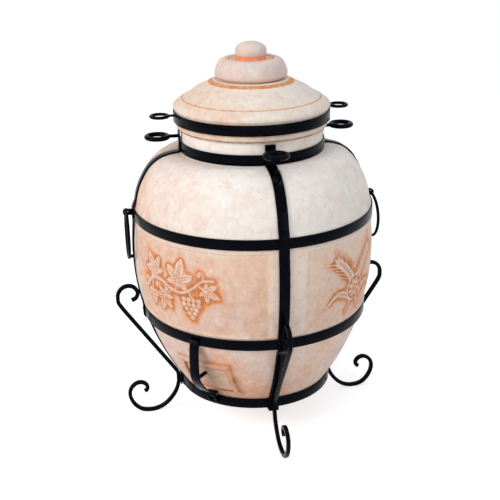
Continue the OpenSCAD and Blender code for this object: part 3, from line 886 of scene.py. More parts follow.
# %% Strokes and grains
def stroke_height(u, v, path, wide, high):
    """A rounded cord along a path; wide may be one number or one for each place."""
    path = np.array(path, float)
    wide = np.broadcast_to(np.array(wide, float), (len(path),))
    best = np.zeros_like(u)
    for p, q, w in zip(path[:-1], path[1:], (wide[:-1] + wide[1:]) / 2):
        near = (u > min(p[0], q[0]) - w) & (u < max(p[0], q[0]) + w)
        near &= (v > min(p[1], q[1]) - w) & (v < max(p[1], q[1]) + w)
        if not near.any():
            continue
        d = q - p
        t = np.clip(((u[near] - p[0]) * d[0] + (v[near] - p[1]) * d[1]) / max(d @ d, 1e-9), 0, 1)
        far = np.hypot(u[near] - p[0] - t * d[0], v[near] - p[1] - t * d[1])
        best[near] = np.maximum(best[near], high * np.sqrt(np.clip(1 - (far / w) ** 2, 0, 1)))
    return best


def turned(u, v, centre, lean_deg):
    """The same places, seen from a centre and along a leaning axis."""
    a = math.radians(lean_deg)
    x = (u - centre[0]) * math.cos(a) + (v - centre[1]) * math.sin(a)
    y = (v - centre[1]) * math.cos(a) - (u - centre[0]) * math.sin(a)
    return x, y


def drop_height(u, v, centre, long, wide, lean_deg, high, point=0.0):
    """A grain or berry: an oval dome, drawn to a point at one end if wanted."""
    x, y = turned(u, v, centre, lean_deg)
    narrow = 1 - point * np.clip(x / long, -0.2, 1)
    d = (x / long) ** 2 + (y / (wide * np.maximum(narrow, 0.15))) ** 2
    return high * np.sqrt(np.clip(1 - d, 0, 1))


patch_u, patch_v = np.meshgrid(np.arange(-9, 10.0), np.arange(-9, 10.0))
print("a grain rises", round(float(drop_height(patch_u, patch_v, (0, 0), 8, 4, 0, 3.0).max()), 1), "mm")

# %% Leaves, curls and bunches
LOBES = ((0, 1.0), (0.98, 0.84), (-0.98, 0.84), (1.95, 0.62), (-1.95, 0.62))
NO_RIB = 99.0


def leaf_height(u, v, stalk, size, lean_deg, high):
    """A vine leaf from its stalk: five pointed lobes, toothed edge, raised veins."""
    x, y = turned(u, v, stalk, lean_deg)
    angle, far = np.arctan2(y, x), np.hypot(x, y)
    edge = 0.30 - 0.12 * ease((np.abs(angle) - 2.6) / 0.5)
    ribs = np.full_like(u, NO_RIB)
    for turn, reach in LOBES:
        off = np.abs((angle - turn + math.pi) % (2 * math.pi) - math.pi)
        edge = np.maximum(edge, reach * (1 - 0.62 * (off / 0.56) ** 1.25))
        ahead = x * math.cos(turn) + y * math.sin(turn)
        aside = np.abs(y * math.cos(turn) - x * math.sin(turn))
        ribs = np.minimum(ribs, np.where((ahead > 0) & (ahead < size * reach * 0.92), aside, NO_RIB))
    edge = edge + 0.028 * np.abs((angle * 22 / math.pi) % 2 - 1)
    inside = size * edge - far
    blade = high * ease(inside / 3.0) * (0.70 + 0.30 * np.clip(far / size, 0, 1))
    blade = blade - 0.85 * np.exp(-((ribs - 2.6) / 1.3) ** 2) + 0.35 * np.exp(-(ribs / 1.2) ** 2)
    side_ribs = 0.22 * np.cos((far - 0.9 * ribs) * 2 * math.pi / 7.5)
    return np.where(inside > 0, np.maximum(blade + side_ribs * ease(inside / 5), 0), 0)


def tendril(start, lean_deg, turns, size, steps=26):
    """A curl that leaves its stem and winds in on itself."""
    t = np.linspace(0, 1, steps)
    spin = math.radians(lean_deg) + turns * 2 * math.pi * t ** 1.4
    step = size * (1 - 0.86 * t) * 2.2 / steps
    way = np.column_stack([np.cos(spin), np.sin(spin)])
    return np.array(start) + np.cumsum(way * step[:, None] * 3, axis=0)


def bunch(u, v, top, rows_down, size, high):
    """Grapes hanging from a point, one fewer in each row down."""
    grapes = []
    for row in range(rows_down):
        wide = rows_down - row if row else rows_down - 1
        for k in range(wide):
            spot = (top[0] + (k - (wide - 1) / 2) * size * 1.86, top[1] - size - row * size * 1.62)
            grapes.append(drop_height(u, v, spot, size, size, 0, high * (1 - 0.05 * ((k + row) % 2))))
    return np.maximum.reduce(grapes)


print("a curl has", len(tendril((0, 0), 0, 1, 10)), "places, a leaf", len(LOBES), "lobes")

# %% Grape vine
STEM = [(-98, -20), (-74, 4), (-44, 8), (-14, -4), (14, -8), (42, 6), (66, 26), (92, 30)]
CURLS = (((66, 26), 62, 1.5, 12), ((-14, -4), -100, -1.5, 10), ((-84, -6), 120, 1.2, 9))
LEAVES = (((-62, 24), 44, 122), ((6, 18), 50, 78), ((-34, -26), 40, -112), ((74, 6), 34, -28))
BUNCHES = (((38, -14), 5, 6.4), ((-76, -22), 4, 5.6))
STALKS = (
    ((-52, 8), (-62, 26)), ((0, -6), (6, 20)), ((-28, 2), (-34, -28)),
    ((56, 16), (74, 6)), ((34, 2), (38, -14)), ((-74, 4), (-76, -22)),
)


def vine(u, v):
    """Grape vine: a waving stem, four leaves, two bunches and three curls."""
    stem = smooth_path(STEM, 8)
    shapes = [stroke_height(u, v, stem, np.linspace(4.4, 2.6, len(stem)), 3.0)]
    shapes += [stroke_height(u, v, tendril(*curl), 1.9, 2.0) for curl in CURLS]
    shapes += [leaf_height(u, v, *leaf, 2.5) for leaf in LEAVES]
    shapes += [bunch(u, v, *grapes, 3.2) for grapes in BUNCHES]
    shapes += [stroke_height(u, v, stalk, [2.6, 2.0], 2.5) for stalk in STALKS]
    return np.maximum.reduce(shapes)


print("vine:", len(LEAVES), "leaves,", len(BUNCHES), "bunches,", len(CURLS), "curls")

# %% Crossed wheat
ROSETTE = np.array([0.0, -26.0])
WHEAT_LEAF = [(10, -54), (34, -34), (62, -30), (88, -52)]
WHEAT_STALK = [(26, -80), (8, -44), (-10, -8), (-34, 24), (-64, 50)]
PETALS = 8


def wheat_ear(u, v, stalk):
    """Grains in pairs up a stalk, a beard on every second pair and one grain on top."""
    shapes = []
    for k, t in enumerate(np.linspace(0.50, 0.97, 10)):
        i = int(t * (len(stalk) - 1))
        way = stalk[min(i + 1, len(stalk) - 1)] - stalk[i - 1]
        way = way / np.hypot(*way)
        aside = np.array([-way[1], way[0]])
        lean = math.degrees(math.atan2(way[1], way[0]))
        for off in (-1, 1):
            spot = stalk[i] + aside * off * 5.6
            shapes.append(drop_height(u, v, spot, 9.4, 4.4, lean + off * 24, 3.0, point=0.7))
            if k % 2:
                tip = spot + (way + aside * off * 0.55) * 26
                shapes.append(stroke_height(u, v, [spot, tip], [1.5, 0.9], 1.5))
    shapes.append(drop_height(u, v, stalk[-1], 10, 4.6, lean, 3.0, point=0.7))
    return np.maximum.reduce(shapes)


def rosette(u, v):
    """Petals round a bud, inside a ring."""
    shapes = [drop_height(u, v, ROSETTE, 6.2, 6.2, 0, 3.1)]
    for k in range(PETALS):
        lean = k * 360 / PETALS + 22.5
        out = np.array([math.cos(math.radians(lean)), math.sin(math.radians(lean))])
        shapes.append(drop_height(u, v, ROSETTE + 14.5 * out, 10, 5.2, lean, 2.7, point=0.35))
    turn = np.linspace(0, 2 * math.pi, 49)
    rim = ROSETTE + 28 * np.column_stack([np.cos(turn), np.sin(turn)])
    return np.maximum.reduce(shapes + [stroke_height(u, v, rim, 2.2, 2.4)])


def wheat(u, v):
    """Two crossed wheat ears with broad leaves, and the rosette where they cross."""
    h = np.zeros_like(u)
    for side in (-1, 1):
        leaf = smooth_path([(side * x, y) for x, y in WHEAT_LEAF], 6)
        stalk = smooth_path([(side * x, y) for x, y in WHEAT_STALK], 10)
        wide = np.interp(np.linspace(0, 1, len(leaf)), [0, 0.4, 1], [2, 8.5, 1])
        h = np.maximum(h, stroke_height(u, v, leaf, wide, 2.2))
        h = h - 0.9 * (stroke_height(u, v, leaf, 1.3, 1.0) > 0.3) * (h > 0.9)
        h = np.maximum.reduce([h, stroke_height(u, v, stalk, 2.6, 2.4), wheat_ear(u, v, stalk)])
    far = np.hypot(u - ROSETTE[0], v - ROSETTE[1])
    return np.maximum(np.where(far < 30, 0, h), rosette(u, v))


print("wheat: 2 ears, 2 leaves and", PETALS, "petals")

# %% [markdown]
# ## Panels between the ribs
# Each panel is a bent grid with a thin skirt behind it. The ornament is worked out once on
# an even grid and then read at every place of the panel, so the heights and the ochre that
# lies in the hollows come from the same numbers. The stain is kept on the vertices, and so is
# a paler chalk that is painted light on the right panel.

# %% Pressed pattern
WIDE, TALL, GROWN = 136, 106, 1.14


def blur(field, times_over):
    """Spreads each value over its neighbours, again and again."""
    for _ in range(times_over):
        p = np.pad(field, 1, mode="edge")
        field = (p[:-2, 1:-1] + p[2:, 1:-1] + p[1:-1, :-2] + p[1:-1, 2:] + 2 * field) / 6
    return field


def pressed(ornament):
    """Height, stain and body of an ornament on an even grid of one millimetre."""
    u, v = np.meshgrid(np.arange(-WIDE, WIDE + 1.0), np.arange(-TALL, TALL + 1.0))
    raised = ornament(u / GROWN, v / GROWN)
    body = ease(raised / 0.8)
    crease = np.clip((blur(raised, 80) - raised) / 0.36, 0, 1)
    waves = 0.4 * np.sin(u / 23 + 0.8) * np.sin(v / 17 + 0.4)
    patchy = 0.5 + waves + 0.22 * np.sin(u / 5.1 + v / 7.7)
    patchy = np.clip(patchy + u / 260 - v / 420, 0, 1)
    near = np.clip(blur((raised > 0.2).astype(float), 220) * 2.4, 0, 1)
    halo = near * (1 - body) * (0.25 + 0.85 * patchy)
    raised = blur(raised, 1)
    groove = np.clip(blur((raised > 0.2).astype(float), 24) * 2.4, 0, 1) * (1 - body)
    wash = crease * (0.8 + 0.7 * patchy) + 1.15 * halo + 0.22 * body * patchy
    # Darker brown where the creases of the ornament are deepest.
    brown_mark = np.clip((crease - 0.55) * 1.2, 0, 0.5)
    return {"raised": raised, "wash": np.clip(wash, 0, 1), "body": body, "groove": groove, "brown_mark": brown_mark}


def sampled(field, u, v):
    """Value of an even one-millimetre grid at any places, 0 outside it."""
    x = np.clip(u + WIDE, 0, 2 * WIDE - 1e-6)
    y = np.clip(v + TALL, 0, 2 * TALL - 1e-6)
    i, j = x.astype(int), y.astype(int)
    fx, fy = x - i, y - j
    low = field[j, i] * (1 - fx) + field[j, i + 1] * fx
    high = field[j + 1, i] * (1 - fx) + field[j + 1, i + 1] * fx
    return (low * (1 - fy) + high * fy) * ((np.abs(u) < WIDE) & (np.abs(v) < TALL))


print("highest part of the vine:", round(float(pressed(vine)["raised"].max()), 2), "mm")

# %% Grids
FINE, COARSE = 1.1, 3.2


def graded(low, high, fine_low, fine_high):
    """Steps that are fine in the middle stretch and coarse outside it."""
    return np.concatenate([
        np.linspace(low, fine_low, max(2, int((fine_low - low) / COARSE)))[:-1],
        np.linspace(fine_low, fine_high, int((fine_high - fine_low) / FINE))[:-1],
        np.linspace(fine_high, high, max(2, int((high - fine_high) / COARSE))),
    ])


def grid_faces(high, wide):
    """Faces of a grid whose points are numbered row by row."""
    corners = [r * wide + k for r in range(high - 1) for k in range(wide - 1)]
    return [(a, a + 1, a + wide + 1, a + wide) for a in corners]


def grid_rim(high, wide):
    """Row and column of each point, once round the edge of a grid."""
    rim = [(0, k) for k in range(wide)] + [(r, wide - 1) for r in range(1, high)]
    return rim + [(high - 1, k) for k in range(wide - 2, -1, -1)] + [(r, 0) for r in range(high - 2, 0, -1)]


print("a grid of 3 by 4 has", len(grid_faces(3, 4)), "faces and", len(grid_rim(3, 4)), "places on its rim")

# %% Panels
PANEL_R, PANEL_MIDDLE = 300, 436
BED_LOW, BED_HIGH = 317, 548
FIELD = 2.6


def sunk_field(s, z, reach, borders, quarter):
    """How far inside the field each place is, past borders that waver a little."""
    waver = 1.4 * np.sin(z / 19 + quarter) + 0.9 * np.sin(z / 7.3) + 0.9 * np.sin(s / 23)
    sides = np.minimum(s + reach - BAR_W / 2 - borders[0], reach - s - BAR_W / 2 - borders[1])
    return np.minimum(sides, np.minimum(z - BED_LOW - 8, BED_HIGH - 9 - z)) + waver


def panel(name, ribs, ornament, aside_deg, borders, dust_and_painted_light=0.0):
    """The belly between two ribs: borders are the widths left and right of the field."""
    left, right = (RIB_TURNS[rib] for rib in ribs)
    right += 360 if right < left else 0
    quarter = (left + right) / 2
    reach = math.radians(right - left) / 2 * PANEL_R
    middle = math.radians(aside_deg) * PANEL_R
    along = graded(-reach, reach, middle - WIDE, middle + WIDE)
    s, z = np.meshgrid(along, graded(PANEL_LOW, PANEL_HIGH, PANEL_MIDDLE - TALL, PANEL_MIDDLE + TALL))
    high, wide = s.shape
    angle = s / PANEL_R + math.radians(quarter)
    inside = sunk_field(s, z, reach, borders, quarter)
    sunk, tinted = ease(inside / 5 + 0.5), ease(inside / 26 + 0.3)
    art = {key: sampled(mask, s - middle, z - PANEL_MIDDLE) for key, mask in pressed(ornament).items()}
    base = jar_radius(z)
    radius = base + wobble(angle, z) - FIELD * sunk - 1.0 * art["groove"] + art["raised"] * 0.80
    radius = np.where((z < BED_LOW + 1) | (z > BED_HIGH - 1), base - 0.02, radius)
    back = round_axis(base - 4, angle, z)
    rim = grid_rim(high, wide)
    points = np.vstack([round_axis(radius, angle, z).reshape(-1, 3), [back[r, k] for r, k in rim]])
    faces = grid_faces(high, wide)
    for i, (r, k) in enumerate(rim):
        j = (i + 1) % len(rim)
        faces.append((r * wide + k, high * wide + i, high * wide + j, rim[j][0] * wide + rim[j][1]))
    piece = mesh_piece(name, points, faces, panel_clay, sharp=60)
    step = 4 * sunk * (1 - sunk)
    stains_and_painted_light = {
        "wash": np.clip(art["wash"] + 0.16 * step, 0, 1),
        "brown_mark": art["brown_mark"] + 0.05 * step,
        "ground": tinted * (1 - 0.3 * art["body"]),
        "border": (1 - tinted) * 0.6,
        # Chalk on the border and the relief tops, and on one panel a paler chalk all over that is painted
        # light.
        "chalk_and_painted_light": np.clip(dust_and_painted_light + 0.10 * art["body"] + 0.12 * (1 - tinted), 0, 1),
    }
    paint_values(piece, {key: mask.reshape(-1) for key, mask in stains_and_painted_light.items()})
    return piece


panels = [
    panel("panel_front", ("front_left", "front_right"), vine, aside_deg=-4.5, borders=(45, 19)),
    # Painted light: the right panel is given a paler chalk all over, to brighten it as if it were lit more.
    panel("panel_right", ("front_right", "back_right"), wheat, aside_deg=-5, borders=(46, 28), dust_and_painted_light=0.16),
    panel("panel_back", ("back_right", "back_left"), vine, aside_deg=-4, borders=(24, 24)),
    panel("panel_left", ("back_left", "front_left"), wheat, aside_deg=0, borders=(24, 24)),
]
for piece in [jar] + panels:
    dress(piece, "oven", "clay_body")
print("panels:", [triangles(p) for p in panels])

# %% [markdown]
# ## Draft door
# A clay plug fills the draft opening. It follows the jar outside and inside, with a
# millimetre of air round it and edges rubbed round by use. It could be cut out of the jar's
# mesh, but two grids drawn on the jar's own line are cleaner.

# %% Draft door
DOOR_AIR = 1.1
DOOR_FRONT, DOOR_BACK = 0.4, 44.5


def evaluated_mesh(item):
    """The mesh that an object shows while its modifiers are at work."""
    seen = bpy.context.evaluated_depsgraph_get()
    return bpy.data.meshes.new_from_object(item.evaluated_get(seen))


def rub_edges(piece, width, segments, limit, sharp):
    """Rounds every edge that turns more than the limit, and keeps the plain mesh."""
    bevel = piece.modifiers.new("rubbed edge", "BEVEL")
    bevel.width = width * MM
    bevel.segments = segments
    bevel.angle_limit = math.radians(limit)
    mesh = evaluated_mesh(piece)
    piece.modifiers.clear()
    piece.data = mesh
    crisp(mesh, sharp)
    return piece


def door_mesh():
    """A plug: one grid in front, one behind, and a skirt from rim to rim."""
    xs = np.linspace(DOOR_AIR - DOOR_W / 2, DOOR_W / 2 - DOOR_AIR, 33)
    zs = np.linspace(SILL + DOOR_AIR, HEAD - DOOR_AIR, 23)
    points = []
    for inset in (DOOR_FRONT, DOOR_BACK):
        for z in zs:
            r = float(jar_radius(z)) - inset
            points += [(x, -math.sqrt(r * r - x * x), z) for x in xs]
    front = grid_faces(len(zs), len(xs))
    behind = len(xs) * len(zs)
    back = [tuple(behind + face[k] for k in (0, 3, 2, 1)) for face in front]
    rim = [r * len(xs) + k for r, k in grid_rim(len(zs), len(xs))]
    skirt = [(a, behind + a, behind + b, b) for a, b in zip(rim, rim[1:] + rim[:1])]
    door = mesh_piece("draft_plug", points, front + back + skirt, door_clay, sharp=50)
    return rub_edges(door, width=1.8, segments=3, limit=55, sharp=45)


door = door_mesh()
opening_stain(door)
dress(door, "door", "draft_door")
print("door:", triangles(door), "triangles")

# %% [markdown]
# ## Lid and vent cap
# Both were thrown on a wheel, so a lathe is the honest way to make them. The incised
# lines are small dips in the turned line, and the painted rings sit in those dips.

# %% Lid
LID_TOP = [
    (193.4, 822), (191.5, 829), (178, 840), (157, 852), (140.5, 864), (115.5, 876), (97, 886), (91, 888),
]
LID_EDGE = [
    (184, 771.4), (184.6, 772.2), (187, 779), (189.2, 786.6), (189.5, 788), (189.5, 816.5), (190.6, 818.6),
]
LID_UNDER = [
    (88, 888.1), (48, 888.1), (45.6, 887.4), (45, 886), (45, 849), (45.5, 847), (69, 837), (91, 818),
    (109, 791), (115, 771), (117, 757.5), (118.5, 757), (129, 757), (130.6, 757.8), (131, 759.5),
    (131, 770.6), (132.5, 771.2), (182.8, 771.2),
]
LID_GROOVES = [((170.5, 844), 2.4, 1.1), ((99, 885.2), 4.0, 0.9)]


def with_grooves(line, grooves):
    """Presses shallow grooves into a line of [radius, height]."""
    step = np.hypot(*np.diff(line, axis=0).T)
    along = np.concatenate([[0], np.cumsum(step)])
    fine = np.arange(0, along[-1], 1.2)
    dense = np.column_stack([np.interp(fine, along, line[:, k]) for k in (0, 1)])
    slope = np.gradient(dense, axis=0)
    inward = np.column_stack([-slope[:, 1], slope[:, 0]]) / np.hypot(*slope.T)[:, None]
    for (r, z), wide, deep in grooves:
        far = np.hypot(dense[:, 0] - r, dense[:, 1] - z)
        dense = dense + inward * (deep * ease(1 - far / wide))[:, None]
    return dense


lid_top = with_grooves(smooth_path(LID_TOP, 6), LID_GROOVES)
lid = lathe("lid_dome", np.vstack([LID_EDGE, lid_top, LID_UNDER]), lid_clay, sharp=35)
dress(lid, "lid", "lid")
print("lid:", triangles(lid), "triangles")

# %% Vent cap
CAP_PLUG = [(0, 874.1), (40.6, 874.1), (41.9, 875), (42.5, 877), (42.5, 887.2), (43.4, 888.1)]
CAP_ROLL = [(74, 888.1), (86.7, 895.5), (88.7, 904), (85.2, 918), (77.7, 931.5), (64.7, 938), (51.7, 934.6)]
CAP_WAIST = [(49, 934.1), (38.6, 934.2), (37, 935), (36.5, 937), (36.5, 942)]
KNOB = [(36.6, 943.4), (37.7, 947), (38.3, 954), (35.5, 964), (25, 972), (11, 976), (0, 977)]
cap_loop = np.vstack([CAP_PLUG, smooth_path(CAP_ROLL, 8), CAP_WAIST, smooth_path(KNOB, 8)])
cap = lathe("vent_cap", cap_loop, cap_clay, segments=160, sharp=35)
dress(cap, "cap", "lid_cap")
print("cap:", triangles(cap), "triangles")

# %% [markdown]
# ## Bent bars
# Hoops, ribs, legs, feet and the keeper are all flat bar bent along a path. They are made
# by one Geometry Nodes tree: it sweeps a bar section with rounded corners along a curve.
# The section's wide side is kept along one given direction, as a smith keeps it on the
# anvil. A bevelled curve object would twist the section where the path turns back.

# %% Bent bar tree
BAR_INPUTS = (
    ("Path", "Geometry", None), ("Width", "Float", 0.026), ("Thickness", "Float", 0.004),
    ("Corner", "Float", 0.001), ("Side", "Vector", None), ("Finish", "Material", None),
)


def geometry_tree(name, inputs, output):
    """A Geometry Nodes tree with named inputs, still empty, and its two end nodes."""
    tree = bpy.data.node_groups.new(name, "GeometryNodeTree")
    for key, kind, value in inputs:
        socket = tree.interface.new_socket(key, in_out="INPUT", socket_type="NodeSocket" + kind)
        if value is not None:
            socket.default_value = value
    tree.interface.new_socket(output, in_out="OUTPUT", socket_type="NodeSocketGeometry")
    return tree, add(tree, "NodeGroupInput"), add(tree, "NodeGroupOutput")


def finish_tree(tree, gin, gout, made):
    """The last two nodes of every tree: real instances, then their finish."""
    whole = add(tree, "GeometryNodeRealizeInstances")
    finish = add(tree, "GeometryNodeSetMaterial")
    connect(tree, [
        (made, whole.inputs[0]), (whole.outputs[0], finish.inputs["Geometry"]),
        (gin.outputs["Finish"], finish.inputs["Material"]), (finish.outputs[0], gout.inputs[0]),
    ])
    return tree


def bent_bar_tree():
    """A bar section with rounded corners, swept along a path."""
    tree, gin, gout = geometry_tree("bent_bar", BAR_INPUTS, "Bar")
    section = add(tree, "GeometryNodeCurvePrimitiveQuadrilateral")
    corner = add(tree, "GeometryNodeFilletCurve", mode="POLY", Count=3, Limit_Radius=True)
    side = add(tree, "GeometryNodeSetCurveNormal", mode="FREE")
    sweep = add(tree, "GeometryNodeCurveToMesh", Fill_Caps=True)
    connect(tree, [
        (gin.outputs["Width"], section.inputs["Width"]), (gin.outputs["Thickness"], section.inputs["Height"]),
        (section.outputs[0], corner.inputs["Curve"]), (gin.outputs["Corner"], corner.inputs["Radius"]),
        (gin.outputs["Path"], side.inputs["Curve"]), (gin.outputs["Side"], side.inputs["Normal"]),
        (side.outputs[0], sweep.inputs["Curve"]), (corner.outputs[0], sweep.inputs["Profile Curve"]),
    ])
    return finish_tree(tree, gin, gout, sweep.outputs[0])


BENT_BAR = bent_bar_tree()
print("bent bar tree:", len(BENT_BAR.nodes), "nodes")

# %% Bars along a path
UP = (0, 0, 1)
IRON_SHARP = 35


def nodes_piece(name, source, tree, values):
    """Runs a Geometry Nodes tree on a source object and keeps the plain mesh."""
    modifier = source.modifiers.new("make", "NODES")
    modifier.node_group = tree
    for item in tree.interface.items_tree:
        if item.in_out == "INPUT" and item.name in values:
            modifier[item.identifier] = values[item.name]
    bpy.context.view_layer.update()
    mesh = evaluated_mesh(source)
    bpy.data.objects.remove(source)
    clean_mesh(mesh, reach=0.000005, sharp=IRON_SHARP)
    mesh.name = name
    return put_in_scene(name, mesh)


def path_object(path, closed):
    """A curve object through points in millimetres."""
    curve = bpy.data.curves.new("path", "CURVE")
    curve.dimensions = "3D"
    spline = curve.splines.new("POLY")
    spline.points.add(len(path) - 1)
    for point, spot in zip(spline.points, path):
        point.co = (*(np.array(spot, float) * MM), 1)
    spline.use_cyclic_u = closed
    return put_in_scene("path", curve)


def bar(name, path, width, thick, side, corner=1.1, closed=False):
    """Iron bar along a path, with its width laid along the side direction."""
    sizes = {"Width": width * MM, "Thickness": thick * MM, "Corner": corner * MM}
    values = {**sizes, "Side": tuple(map(float, side)), "Finish": black_iron}
    return nodes_piece(name, path_object(path, closed), BENT_BAR, values)


print("flat bar:", BAR_W, "x", BAR_T, "mm")

# %% Hoops
HOOP_STEPS = 192
round_turn = np.linspace(0, 2 * math.pi, HOOP_STEPS + 1)[:-1]
for name, (foot, seat) in HOOPS.items():
    circle = round_axis(seat + FIT + BAR_T / 2, round_turn, foot + BAR_W / 2)
    hoop = bar(name + "_band", circle, BAR_W, BAR_T, UP, closed=True)
    dress(hoop, "lid" if name == "lid" else "oven", name + "_hoop")
    size = np.ptp(np.array([v.co for v in hoop.data.vertices]), axis=0) / MM
    print(hoop.name, "size", size.round(1), "triangles", triangles(hoop))

# %% [markdown]
# ## Ribs, legs and feet
# Four ribs climb the jar and step over each hoop. A leg and a foot are welded to the foot
# of each rib. The leg's scroll curls back to rest on the rib, the foot's scroll curls up
# off the floor. All three are drawn as a line of [radius, height] in an upright plane,
# because a smith bends each bar flat on the bench before it is stood up.

# %% Upright planes
def outward(turn_deg):
    """The level way from the middle of the jar at that azimuth."""
    a = math.radians(turn_deg)
    return np.array([math.sin(a), -math.cos(a), 0])


def across(turn_deg):
    """The level way along the jar at that azimuth."""
    a = math.radians(turn_deg)
    return np.array([math.cos(a), math.sin(a), 0])


def upright_path(turn_deg, line):
    """Stands a line of [radius, height] up in the plane at that azimuth."""
    return [outward(turn_deg) * r + np.array([0, 0, z]) for r, z in line]


def offset_line(line, distance):
    """The same line moved to its outer side."""
    line = np.array(line, float)
    ahead = np.vstack([line[1:], line[-1:]]) - np.vstack([line[:1], line[:-1]])
    ahead /= np.hypot(*ahead.T)[:, None]
    return line + np.column_stack([ahead[:, 1], -ahead[:, 0]]) * distance


def eased_corners(line, times):
    """Cuts every corner back so that a bend is round, and keeps both ends."""
    line = np.array(line, float)
    for _ in range(times):
        early = 0.75 * line[:-1] + 0.25 * line[1:]
        late = 0.25 * line[:-1] + 0.75 * line[1:]
        middle = np.stack([early, late], axis=1).reshape(-1, 2)
        line = np.vstack([line[:1], middle[1:-1], line[-1:]])
    return line


print("front right rib stands towards", outward(RIB_TURNS["front_right"]).round(2))

# %% Rib line
SKIN, CLAY_STEP = 0.12, 11.0
RIB_HEEL = [(198.2, 78), (198.2, 90), (198.2, 104), (198.2, 113)]
RIB_NECK = [(193.5, 712.9), (184.0, 713.9), (180.3, 718.0), (180.2, 727), (180.2, 745), (180.2, 766)]


def rib_over(hoop):
    """Radius of a rib's clay side where it passes over a hoop."""
    return HOOPS[hoop][1] + FIT + BAR_T + FIT


def over_hoop(hoop):
    """The step that a rib takes over a hoop."""
    foot, r = HOOPS[hoop][0], rib_over(hoop)
    return [(r, foot - 2.5), (r, foot + 6), (r, foot + BAR_W - 6), (r, foot + BAR_W + 2.5)]


def clay_between(low, high):
    """Places a hair off the clay between two heights."""
    heights = np.linspace(low, high, max(2, int((high - low) / CLAY_STEP)))
    return [(float(jar_radius(z)) + SKIN, z) for z in heights]


shoulder_curve = jar_line[(jar_line[:, 1] > 592) & (jar_line[:, 1] < 711)][::4]
rib_inner = np.vstack([
    RIB_HEEL, clay_between(124, 277), over_hoop("lower"), clay_between(329, 537), over_hoop("shoulder"),
    shoulder_curve + SKIN, RIB_NECK,
])
rib_line = eased_corners(offset_line(rib_inner, BAR_T / 2), 2)
print("rib line:", len(rib_line), "places, up to", rib_line[-1][1], "mm")

# %% Leg and foot lines
SCROLL_AT, SCROLL_R = (325.651, 342.0), 35.0
SCROLL_KEYS = [
    (-37, 1), (-14, 0.871), (12, 0.814), (45, 0.757), (80, 0.714), (115, 0.686), (150, 0.646),
    (180, 0.614), (215, 0.549), (250, 0.469),
]
LEG_HEEL = [(207.3, 95.5), (207.7, 106), (210.6, 113.5), (216.3, 122)]
LEG_RISE = [(SCROLL_AT[0] + 5, 285), (SCROLL_AT[0] + 18, 304)]
FOOT_HEEL = [(207.3, 94.5), (207.3, 86)]
FOOT_FALL = [(207.3, 80), (213.3, 59.5), (224.3, 40.1), (240.4, 22.05), (257.5, 10.87), (276.3, 5.03)]
TREAD_R = 284.3
FOOT_CURL = [
    (8, 5.03), (24, 9), (39, 20.5), (50, 38), (54, 56), (51, 71), (41, 83), (27, 88.5), (14, 84.5),
    (7, 75), (8.5, 65.5), (14.5, 61.5),
]


def scroll_spot(turn_deg, share):
    """A place on the upper scroll, at a share of its full radius."""
    a = math.radians(turn_deg)
    return (SCROLL_AT[0] + share * SCROLL_R * math.cos(a), SCROLL_AT[1] + share * SCROLL_R * math.sin(a))


leg_scroll = LEG_RISE + [scroll_spot(*key) for key in SCROLL_KEYS]
leg_line = np.vstack([LEG_HEEL, smooth_path(leg_scroll, 6)])
foot_curl = [(TREAD_R + d, z) for d, z in FOOT_CURL]
foot_line = np.vstack([FOOT_HEEL, smooth_path(FOOT_FALL, 5), smooth_path(foot_curl, 6)])
print("leg line:", len(leg_line), "places, foot line:", len(foot_line), "places")

# %% Ribs, legs and feet
SQUARE, SQUARE_CORNER, RIB_CORNER = 10, 1.8, 1.1
UPRIGHTS = {
    "rib": (rib_line, BAR_W, BAR_T, RIB_CORNER),
    "leg": (leg_line, SQUARE, SQUARE, SQUARE_CORNER),
    "foot": (foot_line, SQUARE, SQUARE, SQUARE_CORNER),
}
for place, turn in RIB_TURNS.items():
    for part, (line, width, thick, corner) in UPRIGHTS.items():
        piece = bar(f"{part}_bar_{place}", upright_path(turn, line), width, thick, across(turn), corner)
        dress(piece, "oven", f"{part}_{place}")
        print(piece.name, triangles(piece), "triangles")

# %% [markdown]
# ## Rings
# The thick rings at the neck are eyes of round rod on a short shank, and the lid has two of
# thin rod. The carrying rings hang loose in their lugs. Round rod is the same bar tree with
# the corner radius as large as half the rod, so one tree makes every bar and rod.

# %% Rings of round rod
NECK_EYE = {"at": 235.2, "z": 753.75, "r": 26, "size": 12, "shank_size": 8.9, "start": 184.3}
LID_EYE = {"at": 227.6, "z": 804.6, "r": 21, "size": 8, "shank_size": 6.3, "start": 193.7}
CARRY_AT, CARRY_R, CARRY_ROD = (321.009, 506.52), 59, 8
EYE_STEPS, CARRY_STEPS = 56, 96


def rod(name, path, size, side, closed=False):
    """Round rod: a square bar with corners as round as half its size."""
    return bar(name, path, size, size, side, corner=size * 0.499, closed=closed)


def join(name, pieces):
    """Several plain pieces as one; each keeps its own closed skin."""
    work = bmesh.new()
    for piece in pieces:
        work.from_mesh(piece.data)
    mesh = bpy.data.meshes.new(name)
    work.to_mesh(mesh)
    work.free()
    mesh.materials.append(black_iron)
    for piece in pieces:
        bpy.data.objects.remove(piece)
    crisp(mesh, IRON_SHARP)
    return put_in_scene(name, mesh)


def circle_path(centre, r, one_way, other_way, count):
    """Places round a circle that lies along two directions."""
    angles = np.arange(count) * 2 * math.pi / count
    one, other = np.array(one_way), np.array(other_way)
    return [centre + r * (math.cos(a) * one + math.sin(a) * other) for a in angles]


def eye(name, turn_deg, at, z, r, size, shank_size, start):
    """A level ring of rod with its shank back to the bar it is welded to."""
    centre = upright_path(turn_deg, [(at, z)])[0]
    ring = rod(name + "_ring", circle_path(centre, r, (1, 0, 0), (0, 1, 0), EYE_STEPS), size, UP, closed=True)
    shank = rod(name + "_shank", upright_path(turn_deg, [(start, z), (at - r + 1, z)]), shank_size, UP)
    return join(name, [ring, shank])


